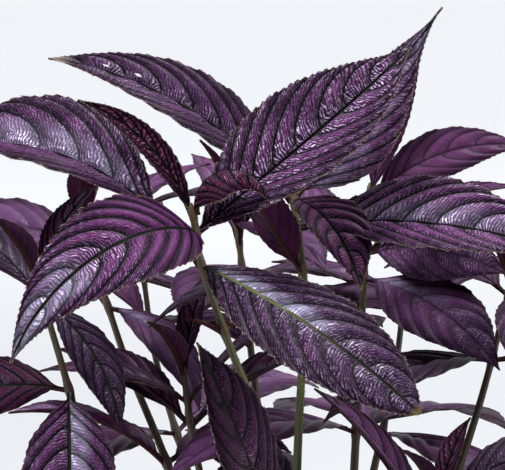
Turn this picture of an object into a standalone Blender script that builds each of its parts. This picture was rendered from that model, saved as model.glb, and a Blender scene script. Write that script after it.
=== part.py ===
"""Persian shield plant: leafy stems that stand in the soil of a plain round pot. Metres, +Z up.

The origin is the middle of the pot's underside, and the plant's best side faces -Y. Each leafy stem is one
solid, its leaves fused to it. A leaf is a thin blade: a midrib that leaves the stem at a heading and a rise
and bends down, two folded halves, side veins that sweep toward the tip, and a low wave with cut teeth from
vein to vein.
"""
import math
import random
from dataclasses import dataclass, replace

import bmesh
import bpy
import numpy as np
from mathutils.bvhtree import BVHTree

# Pot
POT_HEIGHT = 0.150
POT_RADIUS = 0.085
POT_FOOT_RADIUS = 0.062
POT_SLOPE = (POT_RADIUS - POT_FOOT_RADIUS) / POT_HEIGHT
POT_WALL = 0.0025
POT_FLOOR = 0.003
POT_EDGE = 0.002
RIM_HEIGHT = 0.018
RIM_OUT = 0.0035
RIM_EDGE = 0.001
DRAIN_HOLES = 6
DRAIN_RADIUS = 0.005
DRAIN_RING = 0.040
POT_SIDES = 32
SMOOTH_ANGLE = 35

# Soil
SOIL_EDGE = 0.132
SOIL_MOUND = 0.005
MOUND_SHARE = 1 / 3
SOIL_LUMP = 0.0012
LUMP_SHARE = 1 / 4
LUMP_WAVES = ((190, 0, 2), (0, 170, 1), (330, 210, 0))
THIRD_WAVE = 0.6
SOIL_RINGS = 4
SOIL_SIDES = 26
GAP = 0.0003

# Stems
STEM_FOOT_RADIUS = 0.0034
STEM_TOP_RADIUS = 0.0016
STEM_POINT = 0.004
STEM_POINT_SHARE = 0.4
NODE_SWELL = 1.35
NODE_REACH = 0.006
STEM_SIDES = 5
STEM_RING_STEP = 0.060
STEM_RING_LEAST = 0.0035
STEM_CURVE_SPANS = 8
STEM_DEPTH = 0.030
STEM_STRAIGHT = 0.008
STEM_LEVEL = SOIL_EDGE + SOIL_MOUND
HOLE_SIDES = 8
HOLE_RADIUS = 0.0044

# Leaves
BLADE = 0.0008
PETIOLE = 0.07
PETIOLE_HALF = 0.0013
TIP_HALF = 0.0005
VEIN_SWEEP = 0.75
VEIN_START = 0.45
VEIN_CURVE = 1.4
ROW_CROWDING = 1.6
NEAR_VEINS = 7
NEAR_ACROSS = 5
FAR_VEINS = 4
FAR_ACROSS = 3
MIDRIB_STEPS = 64
WAVE = 0.0007
WAVE_FULL_WIDTH = 0.010
TOOTH = 0.0006
ROOT_OUT = 0.0006
WELD = 0.000001

# Leaves that a rule places: a pair's age counts the pairs above it on its stem
MATURE_LENGTH = 0.150
MATURE_WIDTH = 0.058
BUD_GROWTH = 0.34
GROWTH_A_PAIR = 0.30
GROWTH_SPREAD = (0.90, 1.08)
WIDTH_POWER = 1.3
BUD_RISE = 68
RISE_LOST_A_PAIR = 20
LOWEST_RISE = -5
BUD_DROOP = 30
DROOP_A_PAIR = 9
MOST_DROOP_PAIRS = 4
BUD_FOLD = 45
FOLD_LOST_A_PAIR = 12
LEAST_FOLD = 12
TURN_SPREAD = 12
TILT_SPREAD = 8
SEED = 7

# Room between leaves
CLEAR = 0.0030
GUARD_ROWS = 12
GUARD_ACROSS = 5
GUARD_STALK_ROWS = 3
MOUND_GUARD_RADIUS = 0.010
MOUND_GUARD_RISE = 0.012
TURNS_TO_TRY = (0, -10, 10, -20, 20, -30, 30)
LIFTS_TO_TRY = (0, 8, -8, 16, -16, 26, -26)
LIFT_COST = 1.2


@dataclass(frozen=True)
class Leaf:
    """One leaf. Angles are in degrees, and heading runs from +X toward +Y."""

    at: float
    length: float
    width: float
    heading: float
    rise: float
    droop: float = 40.0
    sweep: float = 0.0
    roll: float = 0.0
    fold_left: float = 15.0
    fold_right: float = 15.0
    curl: float = 25.0
    belly: float = 1.0
    taper: float = 1.25
    petiole: float = PETIOLE
    near: bool = True


@dataclass(frozen=True)
class Shoot:
    """One leafy stem: the points it runs through, its leaves, and the nodes that a rule fills with pairs."""

    name: str
    route: tuple
    leaves: tuple = ()
    nodes: tuple = ()
    youngest: float = 0.0


SHOOTS = (
    Shoot(
        "leafy_stem_front",
        ((0.000, -0.040), (-0.002, -0.098, 0.298), (-0.013, -0.084, 0.362), (-0.036, -0.080, 0.425),
         (-0.048, -0.077, 0.461), (-0.051, -0.077, 0.480), (-0.054, -0.077, 0.496)),
        (
            Leaf(0.480, 0.177, 0.067, 20, 36, 7, 27, -45, 22, 44, belly=0.95, taper=1.3, petiole=0.02),
            Leaf(0.480, 0.150, 0.060, -122, 20, 90, -46, 34, 15, 15, belly=0.6, taper=1.2, petiole=0.01),
            Leaf(0.461, 0.156, 0.067, -48, -8, 32, 27, -30, 0, 22, belly=0.95, taper=0.75, petiole=0.015),
            Leaf(0.461, 0.198, 0.078, 162, 55, 77, 0, 6, 20, 52, belly=1.1, petiole=0.20),
            Leaf(0.489, 0.094, 0.018, 156, 68, 50, 14, 55, 42, 42, 15, petiole=0.03, near=False),
            Leaf(0.489, 0.070, 0.038, -10, 104, 186, 0, 0, -45, -45, 15, belly=0.7, petiole=0.05, near=False),
            Leaf(0.298, 0.143, 0.063, -138, 69, 4, -18, 74, 35, 0),
            Leaf(0.298, 0.120, 0.048, 60, 20, 50, near=False),
            Leaf(0.425, 0.022, 0.009, -150, 30, 10, near=False),
            Leaf(0.425, 0.018, 0.008, 30, 40, 10, near=False),
        ),
    ),
    Shoot(
        "leafy_stem_tall",
        ((0.012, -0.008), (0.006, -0.030, 0.300), (0.009, -0.030, 0.400), (0.009, -0.022, 0.450),
         (0.004, -0.008, 0.486), (0.003, -0.003, 0.497)),
        (
            Leaf(0.486, 0.169, 0.064, 178, 52, 43, 0, 15, 18, 38, belly=0.9),
            Leaf(0.486, 0.160, 0.060, 38, 44, 2, 0, -40, 84, 20, belly=0.75, taper=1.85),
            Leaf(0.472, 0.165, 0.068, -22, 12, 33, 22, -13, 45, 12),
            Leaf(0.472, 0.120, 0.050, 145, 30, 60, near=False),
            Leaf(0.488, 0.086, 0.042, -56, -2, 58, -6, 0, 30, 22, 15, petiole=0.03),
            Leaf(0.448, 0.080, 0.036, -155, 54, -9, -65, -49, 20, 20, 15),
            Leaf(0.400, 0.110, 0.044, 60, 25, 55, near=False),
            Leaf(0.444, 0.098, 0.050, 176, 6, 50, near=False),
        ),
        ((0.300, 150),),
        youngest=2.0,
    ),
    Shoot(
        "leafy_stem_right_back",
        ((0.036, 0.026), (0.044, 0.048, 0.300), (0.049, 0.062, 0.400), (0.054, 0.088, 0.471),
         (0.055, 0.094, 0.482)),
        (
            Leaf(0.471, 0.110, 0.040, 4, 48, 58, 0, -42, 15, 15, near=False),
            Leaf(0.471, 0.112, 0.028, 20, 78, 14, 0, -30, 15, 15, near=False),
            Leaf(0.440, 0.100, 0.046, -33, 10, 40, 0, -45, 20, 10, near=False),
            Leaf(0.425, 0.122, 0.056, -38, -6, 42, 0, -20, 10, 10, near=False),
        ),
        ((0.440, 147), (0.330, 50)),
        youngest=1.5,
    ),
    Shoot(
        "leafy_stem_right",
        ((0.046, -0.012), (0.084, -0.006, 0.260), (0.116, 0.012, 0.350), (0.136, 0.026, 0.424),
         (0.138, 0.028, 0.436)),
        (
            Leaf(0.424, 0.112, 0.052, -78, -4, 62, 0, 10, 15, 15, near=False),
            Leaf(0.424, 0.112, 0.052, 150, 25, 50, near=False),
            Leaf(0.385, 0.100, 0.046, -10, 10, 50, near=False),
            Leaf(0.385, 0.122, 0.056, 205, 20, 50, near=False),
        ),
        ((0.432, 20), (0.300, 20)),
        youngest=0.6,
    ),
    Shoot(
        "leafy_stem_left_back",
        ((-0.034, 0.022), (-0.068, 0.046, 0.290), (-0.100, 0.068, 0.370), (-0.124, 0.087, 0.440),
         (-0.128, 0.090, 0.452)),
        (
            Leaf(0.440, 0.112, 0.058, 178, 28, 46, 0, 25, 10, 15, near=False),
            Leaf(0.440, 0.100, 0.044, 20, 60, 55, near=False),
            Leaf(0.405, 0.096, 0.048, -28, -6, 72, 0, 0, 15, 15, near=False),
            Leaf(0.405, 0.110, 0.048, 120, 25, 60, near=False),
        ),
        ((0.452, 95), (0.310, 30)),
        youngest=0.4,
    ),
    Shoot(
        "leafy_stem_left",
        ((-0.040, -0.024), (-0.080, -0.046, 0.250), (-0.113, -0.046, 0.330), (-0.126, -0.044, 0.382),
         (-0.141, -0.034, 0.432), (-0.145, -0.030, 0.448)),
        (
            Leaf(0.432, 0.092, 0.038, -25, -28, 56, 0, -10, 12, 12, near=False),
            Leaf(0.432, 0.110, 0.046, 150, 50, 50, near=False),
            Leaf(0.382, 0.104, 0.052, 186, 14, 50, 0, 30, 15, 15, near=False),
            Leaf(0.382, 0.112, 0.052, -85, -30, 50, 0, 0, 14, 14, near=False),
        ),
        ((0.446, 60), (0.280, 160)),
        youngest=0.3,
    ),
    Shoot(
        "leafy_stem_back",
        ((0.002, 0.034), (-0.010, 0.068, 0.280), (-0.022, 0.098, 0.380), (-0.032, 0.122, 0.470)),
        (
            Leaf(0.450, 0.108, 0.050, -58, 20, 55, near=False),
            Leaf(0.425, 0.108, 0.050, -110, 12, 45, near=False),
            Leaf(0.418, 0.104, 0.048, -20, 20, 50, near=False),
        ),
        ((0.466, 20), (0.440, 105), (0.390, 10), (0.310, 95)),
    ),
    Shoot(
        "leafy_stem_middle",
        ((-0.016, -0.006), (-0.032, -0.004, 0.240), (-0.052, -0.002, 0.320), (-0.062, -0.002, 0.385)),
        (
            Leaf(0.365, 0.096, 0.044, -5, 55, 30, near=False),
            Leaf(0.365, 0.092, 0.042, 185, 35, 45, near=False),
        ),
        ((0.382, 70), (0.350, 160), (0.280, 65)),
        youngest=0.2,
    ),
    Shoot(
        "leafy_stem_right_low",
        ((0.034, -0.042), (0.062, -0.058, 0.220), (0.080, -0.064, 0.280), (0.086, -0.064, 0.322)),
        (),
        ((0.320, 60), (0.296, 150), (0.240, 60)),
        youngest=0.2,
    ),
    Shoot(
        "leafy_stem_back_left",
        ((-0.026, 0.048), (-0.058, 0.100, 0.270), (-0.084, 0.138, 0.350), (-0.094, 0.154, 0.410)),
        (),
        ((0.408, 60), (0.376, 150), (0.310, 55)),
        youngest=0.3,
    ),
    Shoot(
        "leafy_stem_back_right",
        ((0.028, 0.052), (0.054, 0.098, 0.260), (0.076, 0.134, 0.350), (0.084, 0.150, 0.420)),
        (),
        ((0.418, 110), (0.384, 20), (0.310, 115)),
        youngest=0.3,
    ),
    Shoot(
        "leafy_stem_front_low",
        ((-0.008, -0.060), (-0.026, -0.098, 0.200), (-0.040, -0.116, 0.240), (-0.046, -0.122, 0.268)),
        (),
        ((0.266, 10), (0.228, 100)),
        youngest=0.2,
    ),
)


def spline(points: np.ndarray, spans: int) -> np.ndarray:
    """A smooth curve through the points, with so many spans from each point to the next."""
    ends = np.vstack([2 * points[0] - points[1], points, 2 * points[-1] - points[-2]])
    u = np.linspace(0, 1, spans, endpoint=False)[:, None]
    curve = []
    for a, b, c, d in zip(ends, ends[1:], ends[2:], ends[3:]):
        curve.append(b + 0.5 * u * (c - a + u * (2 * a - 5 * b + 4 * c - d + u * (3 * (b - c) + d - a))))
    return np.vstack(curve + [points[-1:]])


def stem_curve(shoot: Shoot) -> np.ndarray:
    """The stem's centre line, from its foot in the soil to its top; it stands upright in its hole."""
    x, y = shoot.route[0]
    upright = np.array([(x, y, STEM_LEVEL + rise) for rise in (-STEM_DEPTH, 0, STEM_STRAIGHT)])
    above = spline(np.vstack([upright[1:], np.array(shoot.route[1:])]), STEM_CURVE_SPANS)
    return np.vstack([upright[:1], above])


def on_curve(curve: np.ndarray, height: float) -> np.ndarray:
    """The point of a stem's centre line at a height."""
    return np.array([np.interp(height, curve[:, 2], curve[:, k]) for k in range(3)])


def midrib(leaf: Leaf, root: np.ndarray, t: np.ndarray) -> tuple:
    """Points of the midrib at t from 0 to 1, the way its upper face looks there, and its left."""
    steps = np.linspace(0, 1, MIDRIB_STEPS + 1)
    heading = np.radians(leaf.heading + leaf.sweep * steps)
    pitch = np.radians(leaf.rise - leaf.droop * steps)
    along = np.stack([np.cos(pitch) * np.cos(heading), np.cos(pitch) * np.sin(heading), np.sin(pitch)], -1)
    middles = 0.5 * (along[1:] + along[:-1])
    path = np.vstack([np.zeros(3), np.cumsum(middles, axis=0)]) * leaf.length / MIDRIB_STEPS
    point = np.stack([np.interp(t, steps, path[:, k] + root[k]) for k in range(3)], -1)
    heading = np.radians(leaf.heading + leaf.sweep * t)
    pitch = np.radians(leaf.rise - leaf.droop * t)
    level = np.stack([np.cos(heading), np.sin(heading), 0 * t], -1)
    up = np.array([0.0, 0.0, 1.0])
    along = np.cos(pitch)[..., None] * level + np.sin(pitch)[..., None] * up
    normal = np.cos(pitch)[..., None] * up - np.sin(pitch)[..., None] * level
    left = np.cross(normal, along)
    cos_roll, sin_roll = math.cos(math.radians(leaf.roll)), math.sin(math.radians(leaf.roll))
    return point, normal * cos_roll + left * sin_roll, left * cos_roll - normal * sin_roll


def half_width(leaf: Leaf, t: np.ndarray) -> np.ndarray:
    """Half the blade's width at t: a stalk, a belly and a long point."""
    u = np.clip((t - leaf.petiole) / (1 - leaf.petiole), 0, 1)
    widest = leaf.belly / (leaf.belly + leaf.taper)
    swell = (u / widest) ** leaf.belly * ((1 - u) / (1 - widest)) ** leaf.taper
    return np.maximum(0.5 * leaf.width * swell, PETIOLE_HALF + (TIP_HALF - PETIOLE_HALF) * t)


def blade_grid(leaf: Leaf, root: np.ndarray, rows: int, across: int) -> np.ndarray:
    """The blade's middle surface: rows that follow the side veins, each crossed from right to left."""
    s = np.tile(np.linspace(-1, 1, across), (rows + 1, 1))
    start = np.tile((np.arange(rows + 1)[:, None] / rows) ** ROW_CROWDING, (1, across))
    t = start + VEIN_SWEEP * np.abs(s) ** VEIN_CURVE * (1 - start) * start ** VEIN_START
    point, normal, left = midrib(leaf, root, t)
    half = half_width(leaf, t)
    crest = np.where(np.arange(rows + 1) % 2 == 0, 1.0, -1.0)[:, None] * np.minimum(1, half / WAVE_FULL_WIDTH)
    half = half + TOOTH * crest * (np.abs(s) == 1)
    fold = np.radians(np.where(s > 0, leaf.fold_left, leaf.fold_right))
    curl = math.radians(leaf.curl)
    side = half * (np.sin(fold) - np.sin(fold - curl * np.abs(s))) / curl
    lift = half * (np.cos(fold - curl * np.abs(s)) - np.cos(fold)) / curl
    lift = lift + WAVE * crest * np.minimum(1, 2 * np.abs(s))
    return point + (np.sign(s) * side)[..., None] * left + lift[..., None] * normal


def grid_normals(grid: np.ndarray) -> np.ndarray:
    """Outward steps of the upper face at each point, long enough for an even thickness at a fold."""
    along = np.gradient(grid, axis=0)
    right = grid[:, 1:-1] - grid[:, :-2]
    left = grid[:, 2:] - grid[:, 1:-1]
    edge_right = (grid[:, 1] - grid[:, 0])[:, None]
    edge_left = (grid[:, -1] - grid[:, -2])[:, None]
    before = np.cross(along, np.concatenate([edge_right, right, edge_left], axis=1))
    after = np.cross(along, np.concatenate([edge_right, left, edge_left], axis=1))
    before /= np.linalg.norm(before, axis=-1, keepdims=True)
    after /= np.linalg.norm(after, axis=-1, keepdims=True)
    total = before + after
    return total / (0.5 * np.sum(total * total, axis=-1, keepdims=True))


def blade_solid(leaf: Leaf, root: np.ndarray, rows: int, across: int, thick: float) -> tuple:
    """A closed blade: its points, then triangles split alike on both faces and mirrored at the midrib."""
    grid = blade_grid(leaf, root, rows, across)
    step = grid_normals(grid) * thick / 2
    points = np.concatenate([(grid + step).reshape(-1, 3), (grid - step).reshape(-1, 3)])
    under = grid.shape[0] * across
    faces = []
    for i in range(rows):
        for j in range(across - 1):
            a = i * across + j
            b, c, d = a + 1, a + across + 1, a + across
            split = ((a, b, c), (a, c, d)) if j >= across // 2 else ((a, b, d), (b, c, d))
            for p, q, r in split:
                faces.append((p, r, q))
                faces.append((p + under, q + under, r + under))
    border = list(range(across))
    border += [i * across + across - 1 for i in range(1, rows + 1)]
    border += [rows * across + j for j in range(across - 2, -1, -1)]
    border += [i * across for i in range(rows - 1, 0, -1)]
    for a, b in zip(border, border[1:] + border[:1]):
        faces.append((a, b, b + under))
        faces.append((a, b + under, a + under))
    return points, faces


def stem_heights(curve: np.ndarray, joints: list) -> list:
    """Where the stem's rings go: its ends, its bends, and below, at and above each joint."""
    foot, top = curve[0, 2], curve[-1, 2]
    wanted = [foot, top - STEM_POINT, top]
    wanted += [z + d for z in joints for d in (-NODE_REACH, 0.0, NODE_REACH)]
    wanted += list(np.arange(STEM_LEVEL + STEM_STRAIGHT, top - STEM_RING_STEP / 3, STEM_RING_STEP))
    heights = []
    for z in sorted(h for h in wanted if h <= top):
        if not heights or z - heights[-1] > STEM_RING_LEAST:
            heights.append(z)
    return heights


def stem_solid(curve: np.ndarray, joints: list, extra: float = 0.0) -> tuple:
    """A closed tube along the curve, thinner upward, swollen at each joint and pointed at the top."""
    heights = stem_heights(curve, joints)
    foot, top = curve[0, 2], curve[-1, 2]
    points = []
    for z in heights:
        centre = on_curve(curve, z)
        ahead = on_curve(curve, min(z + STEM_POINT, top)) - on_curve(curve, max(z - STEM_POINT, foot))
        if z < STEM_LEVEL + STEM_STRAIGHT:
            ahead = np.array([0.0, 0.0, 1.0])
        ahead = ahead / np.linalg.norm(ahead)
        across = np.cross(np.array([0.0, 1.0, 0.0]), ahead)
        across = across / np.linalg.norm(across)
        beyond = np.cross(ahead, across)
        radius = STEM_FOOT_RADIUS + (STEM_TOP_RADIUS - STEM_FOOT_RADIUS) * (z - foot) / (top - foot)
        if any(abs(z - joint) < NODE_REACH / 3 for joint in joints):
            radius *= NODE_SWELL
        if z == heights[-1]:
            radius *= STEM_POINT_SHARE
        for k in range(STEM_SIDES):
            turn = math.tau * k / STEM_SIDES
            points.append(centre + (radius + extra) * (math.cos(turn) * across + math.sin(turn) * beyond))
    return np.array(points), capped_bands(0, len(heights), STEM_SIDES)


def rule_leaves(shoot: Shoot, draw: random.Random) -> list:
    """Opposite pairs at the shoot's nodes: small, steep and folded at the top, large and low below."""
    leaves = []
    for rank, (at, heading) in enumerate(shoot.nodes):
        age = shoot.youngest + rank
        growth = min(1.0, BUD_GROWTH + GROWTH_A_PAIR * age) * draw.uniform(*GROWTH_SPREAD)
        rise = max(LOWEST_RISE, BUD_RISE - RISE_LOST_A_PAIR * age)
        droop = BUD_DROOP + DROOP_A_PAIR * min(age, MOST_DROOP_PAIRS)
        fold = max(LEAST_FOLD, BUD_FOLD - FOLD_LOST_A_PAIR * age)
        for turn in (0, 180):
            leaves.append(Leaf(
                at,
                MATURE_LENGTH * growth,
                MATURE_WIDTH * growth ** WIDTH_POWER,
                heading + turn + draw.uniform(-TURN_SPREAD, TURN_SPREAD),
                rise + draw.uniform(-TILT_SPREAD, TILT_SPREAD),
                droop + draw.uniform(-TILT_SPREAD, TILT_SPREAD),
                draw.uniform(-TURN_SPREAD, TURN_SPREAD),
                draw.uniform(-TURN_SPREAD, TURN_SPREAD),
                fold,
                fold,
                near=False,
            ))
    return leaves


def root_of(curve: np.ndarray, leaf: Leaf) -> np.ndarray:
    """Where a leaf starts: inside its stem, just off the centre line on the leaf's side."""
    heading = math.radians(leaf.heading)
    return on_curve(curve, leaf.at) + ROOT_OUT * np.array([math.cos(heading), math.sin(heading), 0.0])


def leaf_guard(leaf: Leaf, root: np.ndarray, from_row: int = 0) -> BVHTree:
    """The space that a leaf wants: its blade, fattened, from a row onward."""
    points, faces = blade_solid(leaf, root, GUARD_ROWS, GUARD_ACROSS, CLEAR)
    row_of = [(i % (len(points) // 2)) // GUARD_ACROSS for i in range(len(points))]
    kept = [f for f in faces if min(row_of[i] for i in f) >= from_row]
    return BVHTree.FromPolygons([tuple(p) for p in points], kept)


def bends() -> list:
    """Turns and lifts to try, the smallest first, for a leaf that is in another one's way."""
    pairs = [(turn, lift) for turn in TURNS_TO_TRY for lift in LIFTS_TO_TRY]
    return sorted(pairs, key=lambda bend: abs(bend[0]) + LIFT_COST * abs(bend[1]))


def grow() -> dict:
    """Each shoot's centre line and leaves: those placed by hand first, then the rule's, all bent clear."""
    draw = random.Random(SEED)
    curves = {shoot.name: stem_curve(shoot) for shoot in SHOOTS}
    wishes = [(shoot, leaf) for shoot in SHOOTS for leaf in shoot.leaves]
    wishes += [(shoot, leaf) for shoot in SHOOTS for leaf in rule_leaves(shoot, draw)]
    taken = [("pot", pot_guard())]
    own = {shoot.name: [] for shoot in SHOOTS}
    for name, curve in curves.items():
        points, faces = stem_solid(curve, [], CLEAR / 2)
        taken.append((name, BVHTree.FromPolygons([tuple(p) for p in points], faces)))
    grown = {name: (curve, []) for name, curve in curves.items()}
    for shoot, wish in wishes:
        for turn, lift in bends():
            leaf = replace(wish, heading=wish.heading + turn, rise=wish.rise + lift)
            root = root_of(curves[shoot.name], leaf)
            whole = leaf_guard(leaf, root)
            outer = leaf_guard(leaf, root, GUARD_STALK_ROWS)
            others = [tree for owner, tree in taken if owner != shoot.name]
            siblings = [] if wish in shoot.leaves else own[shoot.name]
            met = any(whole.overlap(tree) for tree in others) or any(outer.overlap(tree) for tree in siblings)
            if not met:
                grown[shoot.name][1].append(leaf)
                taken.append((shoot.name, whole))
                own[shoot.name].append(outer)
                break
    return grown


def pot_guard() -> BVHTree:
    """The pot's outside, its rim and a cone over the soil, which leaves keep clear of."""
    rings = (
        (POT_FOOT_RADIUS, 0.0),
        (POT_RADIUS + RIM_OUT + CLEAR, POT_HEIGHT + CLEAR),
        (MOUND_GUARD_RADIUS, SOIL_EDGE + MOUND_GUARD_RISE),
    )
    points = [point for radius, z in rings for point in circle(radius, z, SOIL_SIDES)]
    return BVHTree.FromPolygons(points, bands(0, len(rings), SOIL_SIDES))


def circle(radius: float, z: float, sides: int, x: float = 0.0, y: float = 0.0) -> list:
    """Points round a level circle, from +X toward +Y."""
    turns = [math.tau * k / sides for k in range(sides)]
    return [(x + radius * math.cos(turn), y + radius * math.sin(turn), z) for turn in turns]


def bands(start: int, rings: int, sides: int) -> list:
    """Quads between rings of points that follow one another from a start."""
    faces = []
    for ring in range(rings - 1):
        for k in range(sides):
            a = start + ring * sides + k
            b = start + ring * sides + (k + 1) % sides
            faces.append((a, b, b + sides, a + sides))
    return faces


def capped_bands(start: int, rings: int, sides: int) -> list:
    """The same quads, with a face over each end."""
    last = start + (rings - 1) * sides
    ends = [tuple(range(start + sides - 1, start - 1, -1)), tuple(range(last, last + sides))]
    return bands(start, rings, sides) + ends


def material(name: str, colour: tuple, roughness: float, metallic: float = 0.0) -> bpy.types.Material:
    """A plain Principled finish."""
    finish = bpy.data.materials.new(name)
    finish.use_nodes = True
    shader = finish.node_tree.nodes["Principled BSDF"]
    shader.inputs["Base Color"].default_value = (*colour, 1)
    shader.inputs["Roughness"].default_value = roughness
    shader.inputs["Metallic"].default_value = metallic
    return finish


def new_object(name: str, points, faces, finish, collection=None) -> bpy.types.Object:
    """An object from points and faces, with one finish, in the scene's or another collection."""
    mesh = bpy.data.meshes.new(name)
    mesh.from_pydata([tuple(p) for p in points], [], faces)
    mesh.materials.append(finish)
    thing = bpy.data.objects.new(name, mesh)
    (collection or bpy.context.scene.collection).objects.link(thing)
    return thing


def applied(thing: bpy.types.Object) -> None:
    """Keeps an object's evaluated mesh, as triangles, in place of its modifiers."""
    bpy.context.view_layer.update()
    evaluated = thing.evaluated_get(bpy.context.evaluated_depsgraph_get())
    mesh = bpy.data.meshes.new_from_object(evaluated)
    thing.modifiers.clear()
    thing.data = mesh
    shape = bmesh.new()
    shape.from_mesh(mesh)
    keep_outer_shell(shape)
    bmesh.ops.remove_doubles(shape, verts=shape.verts, dist=WELD)
    bmesh.ops.triangulate(shape, faces=shape.faces)
    shape.to_mesh(mesh)
    shape.free()


def keep_outer_shell(shape: bmesh.types.BMesh) -> None:
    """Drops every group of faces but the largest: sealed hollows and loose scraps that a union leaves."""
    groups = []
    waiting = set(shape.faces)
    while waiting:
        group = [waiting.pop()]
        for face in group:
            for edge in face.edges:
                for other in edge.link_faces:
                    if other in waiting:
                        waiting.remove(other)
                        group.append(other)
        groups.append(group)
    groups.sort(key=len)
    for group in groups[:-1]:
        bmesh.ops.delete(shape, geom=group, context="FACES")


def leafy_stem(name: str, curve: np.ndarray, leaves: list, stem_finish, leaf_finish) -> bpy.types.Object:
    """A stem with its leaves sunk into it and joined by one union."""
    joints = sorted({leaf.at for leaf in leaves})
    points, faces = stem_solid(curve, joints)
    stem = new_object(name, points, faces, stem_finish)
    blades = bpy.data.collections.new(name + "_leaves")
    bpy.context.scene.collection.children.link(blades)
    for index, leaf in enumerate(leaves):
        veins = NEAR_VEINS if leaf.near else FAR_VEINS
        across = NEAR_ACROSS if leaf.near else FAR_ACROSS
        points, faces = blade_solid(leaf, root_of(curve, leaf), 2 * veins, across, BLADE)
        new_object(f"{name}_leaf_{index}", points, faces, leaf_finish, blades)
    union = stem.modifiers.new("leaves", "BOOLEAN")
    union.operation = "UNION"
    union.operand_type = "COLLECTION"
    union.collection = blades
    union.solver = "MANIFOLD"
    union.material_mode = "TRANSFER"
    applied(stem)
    for blade in list(blades.objects):
        bpy.data.objects.remove(blade)
    bpy.data.collections.remove(blades)
    return stem


def pot(finish) -> bpy.types.Object:
    """A turned pot: flat underside, sloped wall, a step under the band at its rim, and drain holes."""
    band = POT_HEIGHT - RIM_HEIGHT
    outside = [
        (POT_FOOT_RADIUS - POT_EDGE, 0.0),
        (POT_FOOT_RADIUS, POT_EDGE),
        (POT_FOOT_RADIUS + POT_SLOPE * (band - POT_EDGE), band - POT_EDGE),
        (POT_RADIUS + RIM_OUT - RIM_EDGE, band),
        (POT_RADIUS + RIM_OUT, band + POT_EDGE),
        (POT_RADIUS + RIM_OUT, POT_HEIGHT - RIM_EDGE),
        (POT_RADIUS + RIM_OUT - RIM_EDGE, POT_HEIGHT),
    ]
    inside = [
        (POT_RADIUS - POT_WALL + RIM_EDGE, POT_HEIGHT),
        (POT_RADIUS - POT_WALL, POT_HEIGHT - RIM_EDGE),
        (POT_FOOT_RADIUS - POT_WALL + POT_SLOPE * POT_FLOOR, POT_FLOOR),
    ]
    profile = outside + inside
    points = [point for radius, z in profile for point in circle(radius, z, POT_SIDES)]
    body = new_object("pot", points, capped_bands(0, len(profile), POT_SIDES), finish)
    holes = [(x, y) for x, y, _ in circle(DRAIN_RING, 0, DRAIN_HOLES)]
    drill(body, holes, DRAIN_RADIUS, -POT_FLOOR, 2 * POT_FLOOR, finish)
    body.data.shade_smooth()
    body.data.set_sharp_from_angle(angle=math.radians(SMOOTH_ANGLE))
    return body


def drill(body: bpy.types.Object, places: list, radius: float, low: float, high: float, finish) -> None:
    """Cuts upright round holes into a body, from one height to another, in one cut."""
    points, faces = [], []
    for x, y in places:
        faces += capped_bands(len(points), 2, HOLE_SIDES)
        points += circle(radius, low, HOLE_SIDES, x, y) + circle(radius, high, HOLE_SIDES, x, y)
    cutter = new_object("drill", points, faces, finish)
    cut = body.modifiers.new("holes", "BOOLEAN")
    cut.operation = "DIFFERENCE"
    cut.object = cutter
    cut.solver = "EXACT"
    applied(body)
    bpy.data.objects.remove(cutter)


def soil(finish) -> bpy.types.Object:
    """A plug that fills the pot up to a low lumpy mound, with a plain hole for each stem."""
    floor = POT_FLOOR + GAP
    inner_foot = POT_FOOT_RADIUS - POT_WALL + POT_SLOPE * floor - 2 * GAP
    inner_edge = POT_FOOT_RADIUS - POT_WALL + POT_SLOPE * SOIL_EDGE - 2 * GAP
    points = circle(inner_foot, floor, SOIL_SIDES)
    for k in range(SOIL_RINGS):
        level = circle(inner_edge * (1 - k / SOIL_RINGS), 0, SOIL_SIDES)
        points += [(x, y, soil_height(x, y, inner_edge)) for x, y, _ in level]
    points.append((0, 0, soil_height(0, 0, inner_edge)))
    faces = []
    for ring in range(SOIL_RINGS):
        for k in range(SOIL_SIDES):
            a = ring * SOIL_SIDES + k
            b = ring * SOIL_SIDES + (k + 1) % SOIL_SIDES
            faces.append((a, b, b + SOIL_SIDES))
            faces.append((a, b + SOIL_SIDES, a + SOIL_SIDES))
    last = SOIL_RINGS * SOIL_SIDES
    for k in range(SOIL_SIDES):
        faces.append((last + k, last + (k + 1) % SOIL_SIDES, len(points) - 1))
    faces.append(tuple(range(SOIL_SIDES - 1, -1, -1)))
    body = new_object("soil", points, faces, finish)
    holes = [shoot.route[0] for shoot in SHOOTS]
    bottom = STEM_LEVEL - STEM_DEPTH - GAP
    drill(body, holes, HOLE_RADIUS, bottom, POT_HEIGHT, finish)
    return body


def soil_height(x: float, y: float, edge: float) -> float:
    """The soil's height at a place: a low mound with rolling lumps that fade out at the pot's wall."""
    reach = 1 - min(1, math.hypot(x, y) / edge)
    first, second, third = [math.sin(a * x + b * y + c) for a, b, c in LUMP_WAVES]
    lump = SOIL_LUMP * (first * second + THIRD_WAVE * third)
    return SOIL_EDGE + SOIL_MOUND * min(1, reach / MOUND_SHARE) + lump * min(1, reach / LUMP_SHARE)


def main() -> None:
    """Builds the pot, the soil and each leafy stem."""
    for thing in list(bpy.data.objects):
        bpy.data.objects.remove(thing)
    pot_finish = material("pot_plastic", (0.060, 0.055, 0.055), 0.55)
    soil_finish = material("soil", (0.035, 0.022, 0.014), 0.95)
    stem_finish = material("stem_green", (0.120, 0.160, 0.050), 0.50)
    leaf_finish = material("leaf_purple", (0.110, 0.030, 0.140), 0.35, 0.2)
    pot(pot_finish)
    soil(soil_finish)
    for name, (curve, leaves) in grow().items():
        leafy_stem(name, curve, leaves, stem_finish, leaf_finish)


if __name__ == "__main__":
    main()
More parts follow.
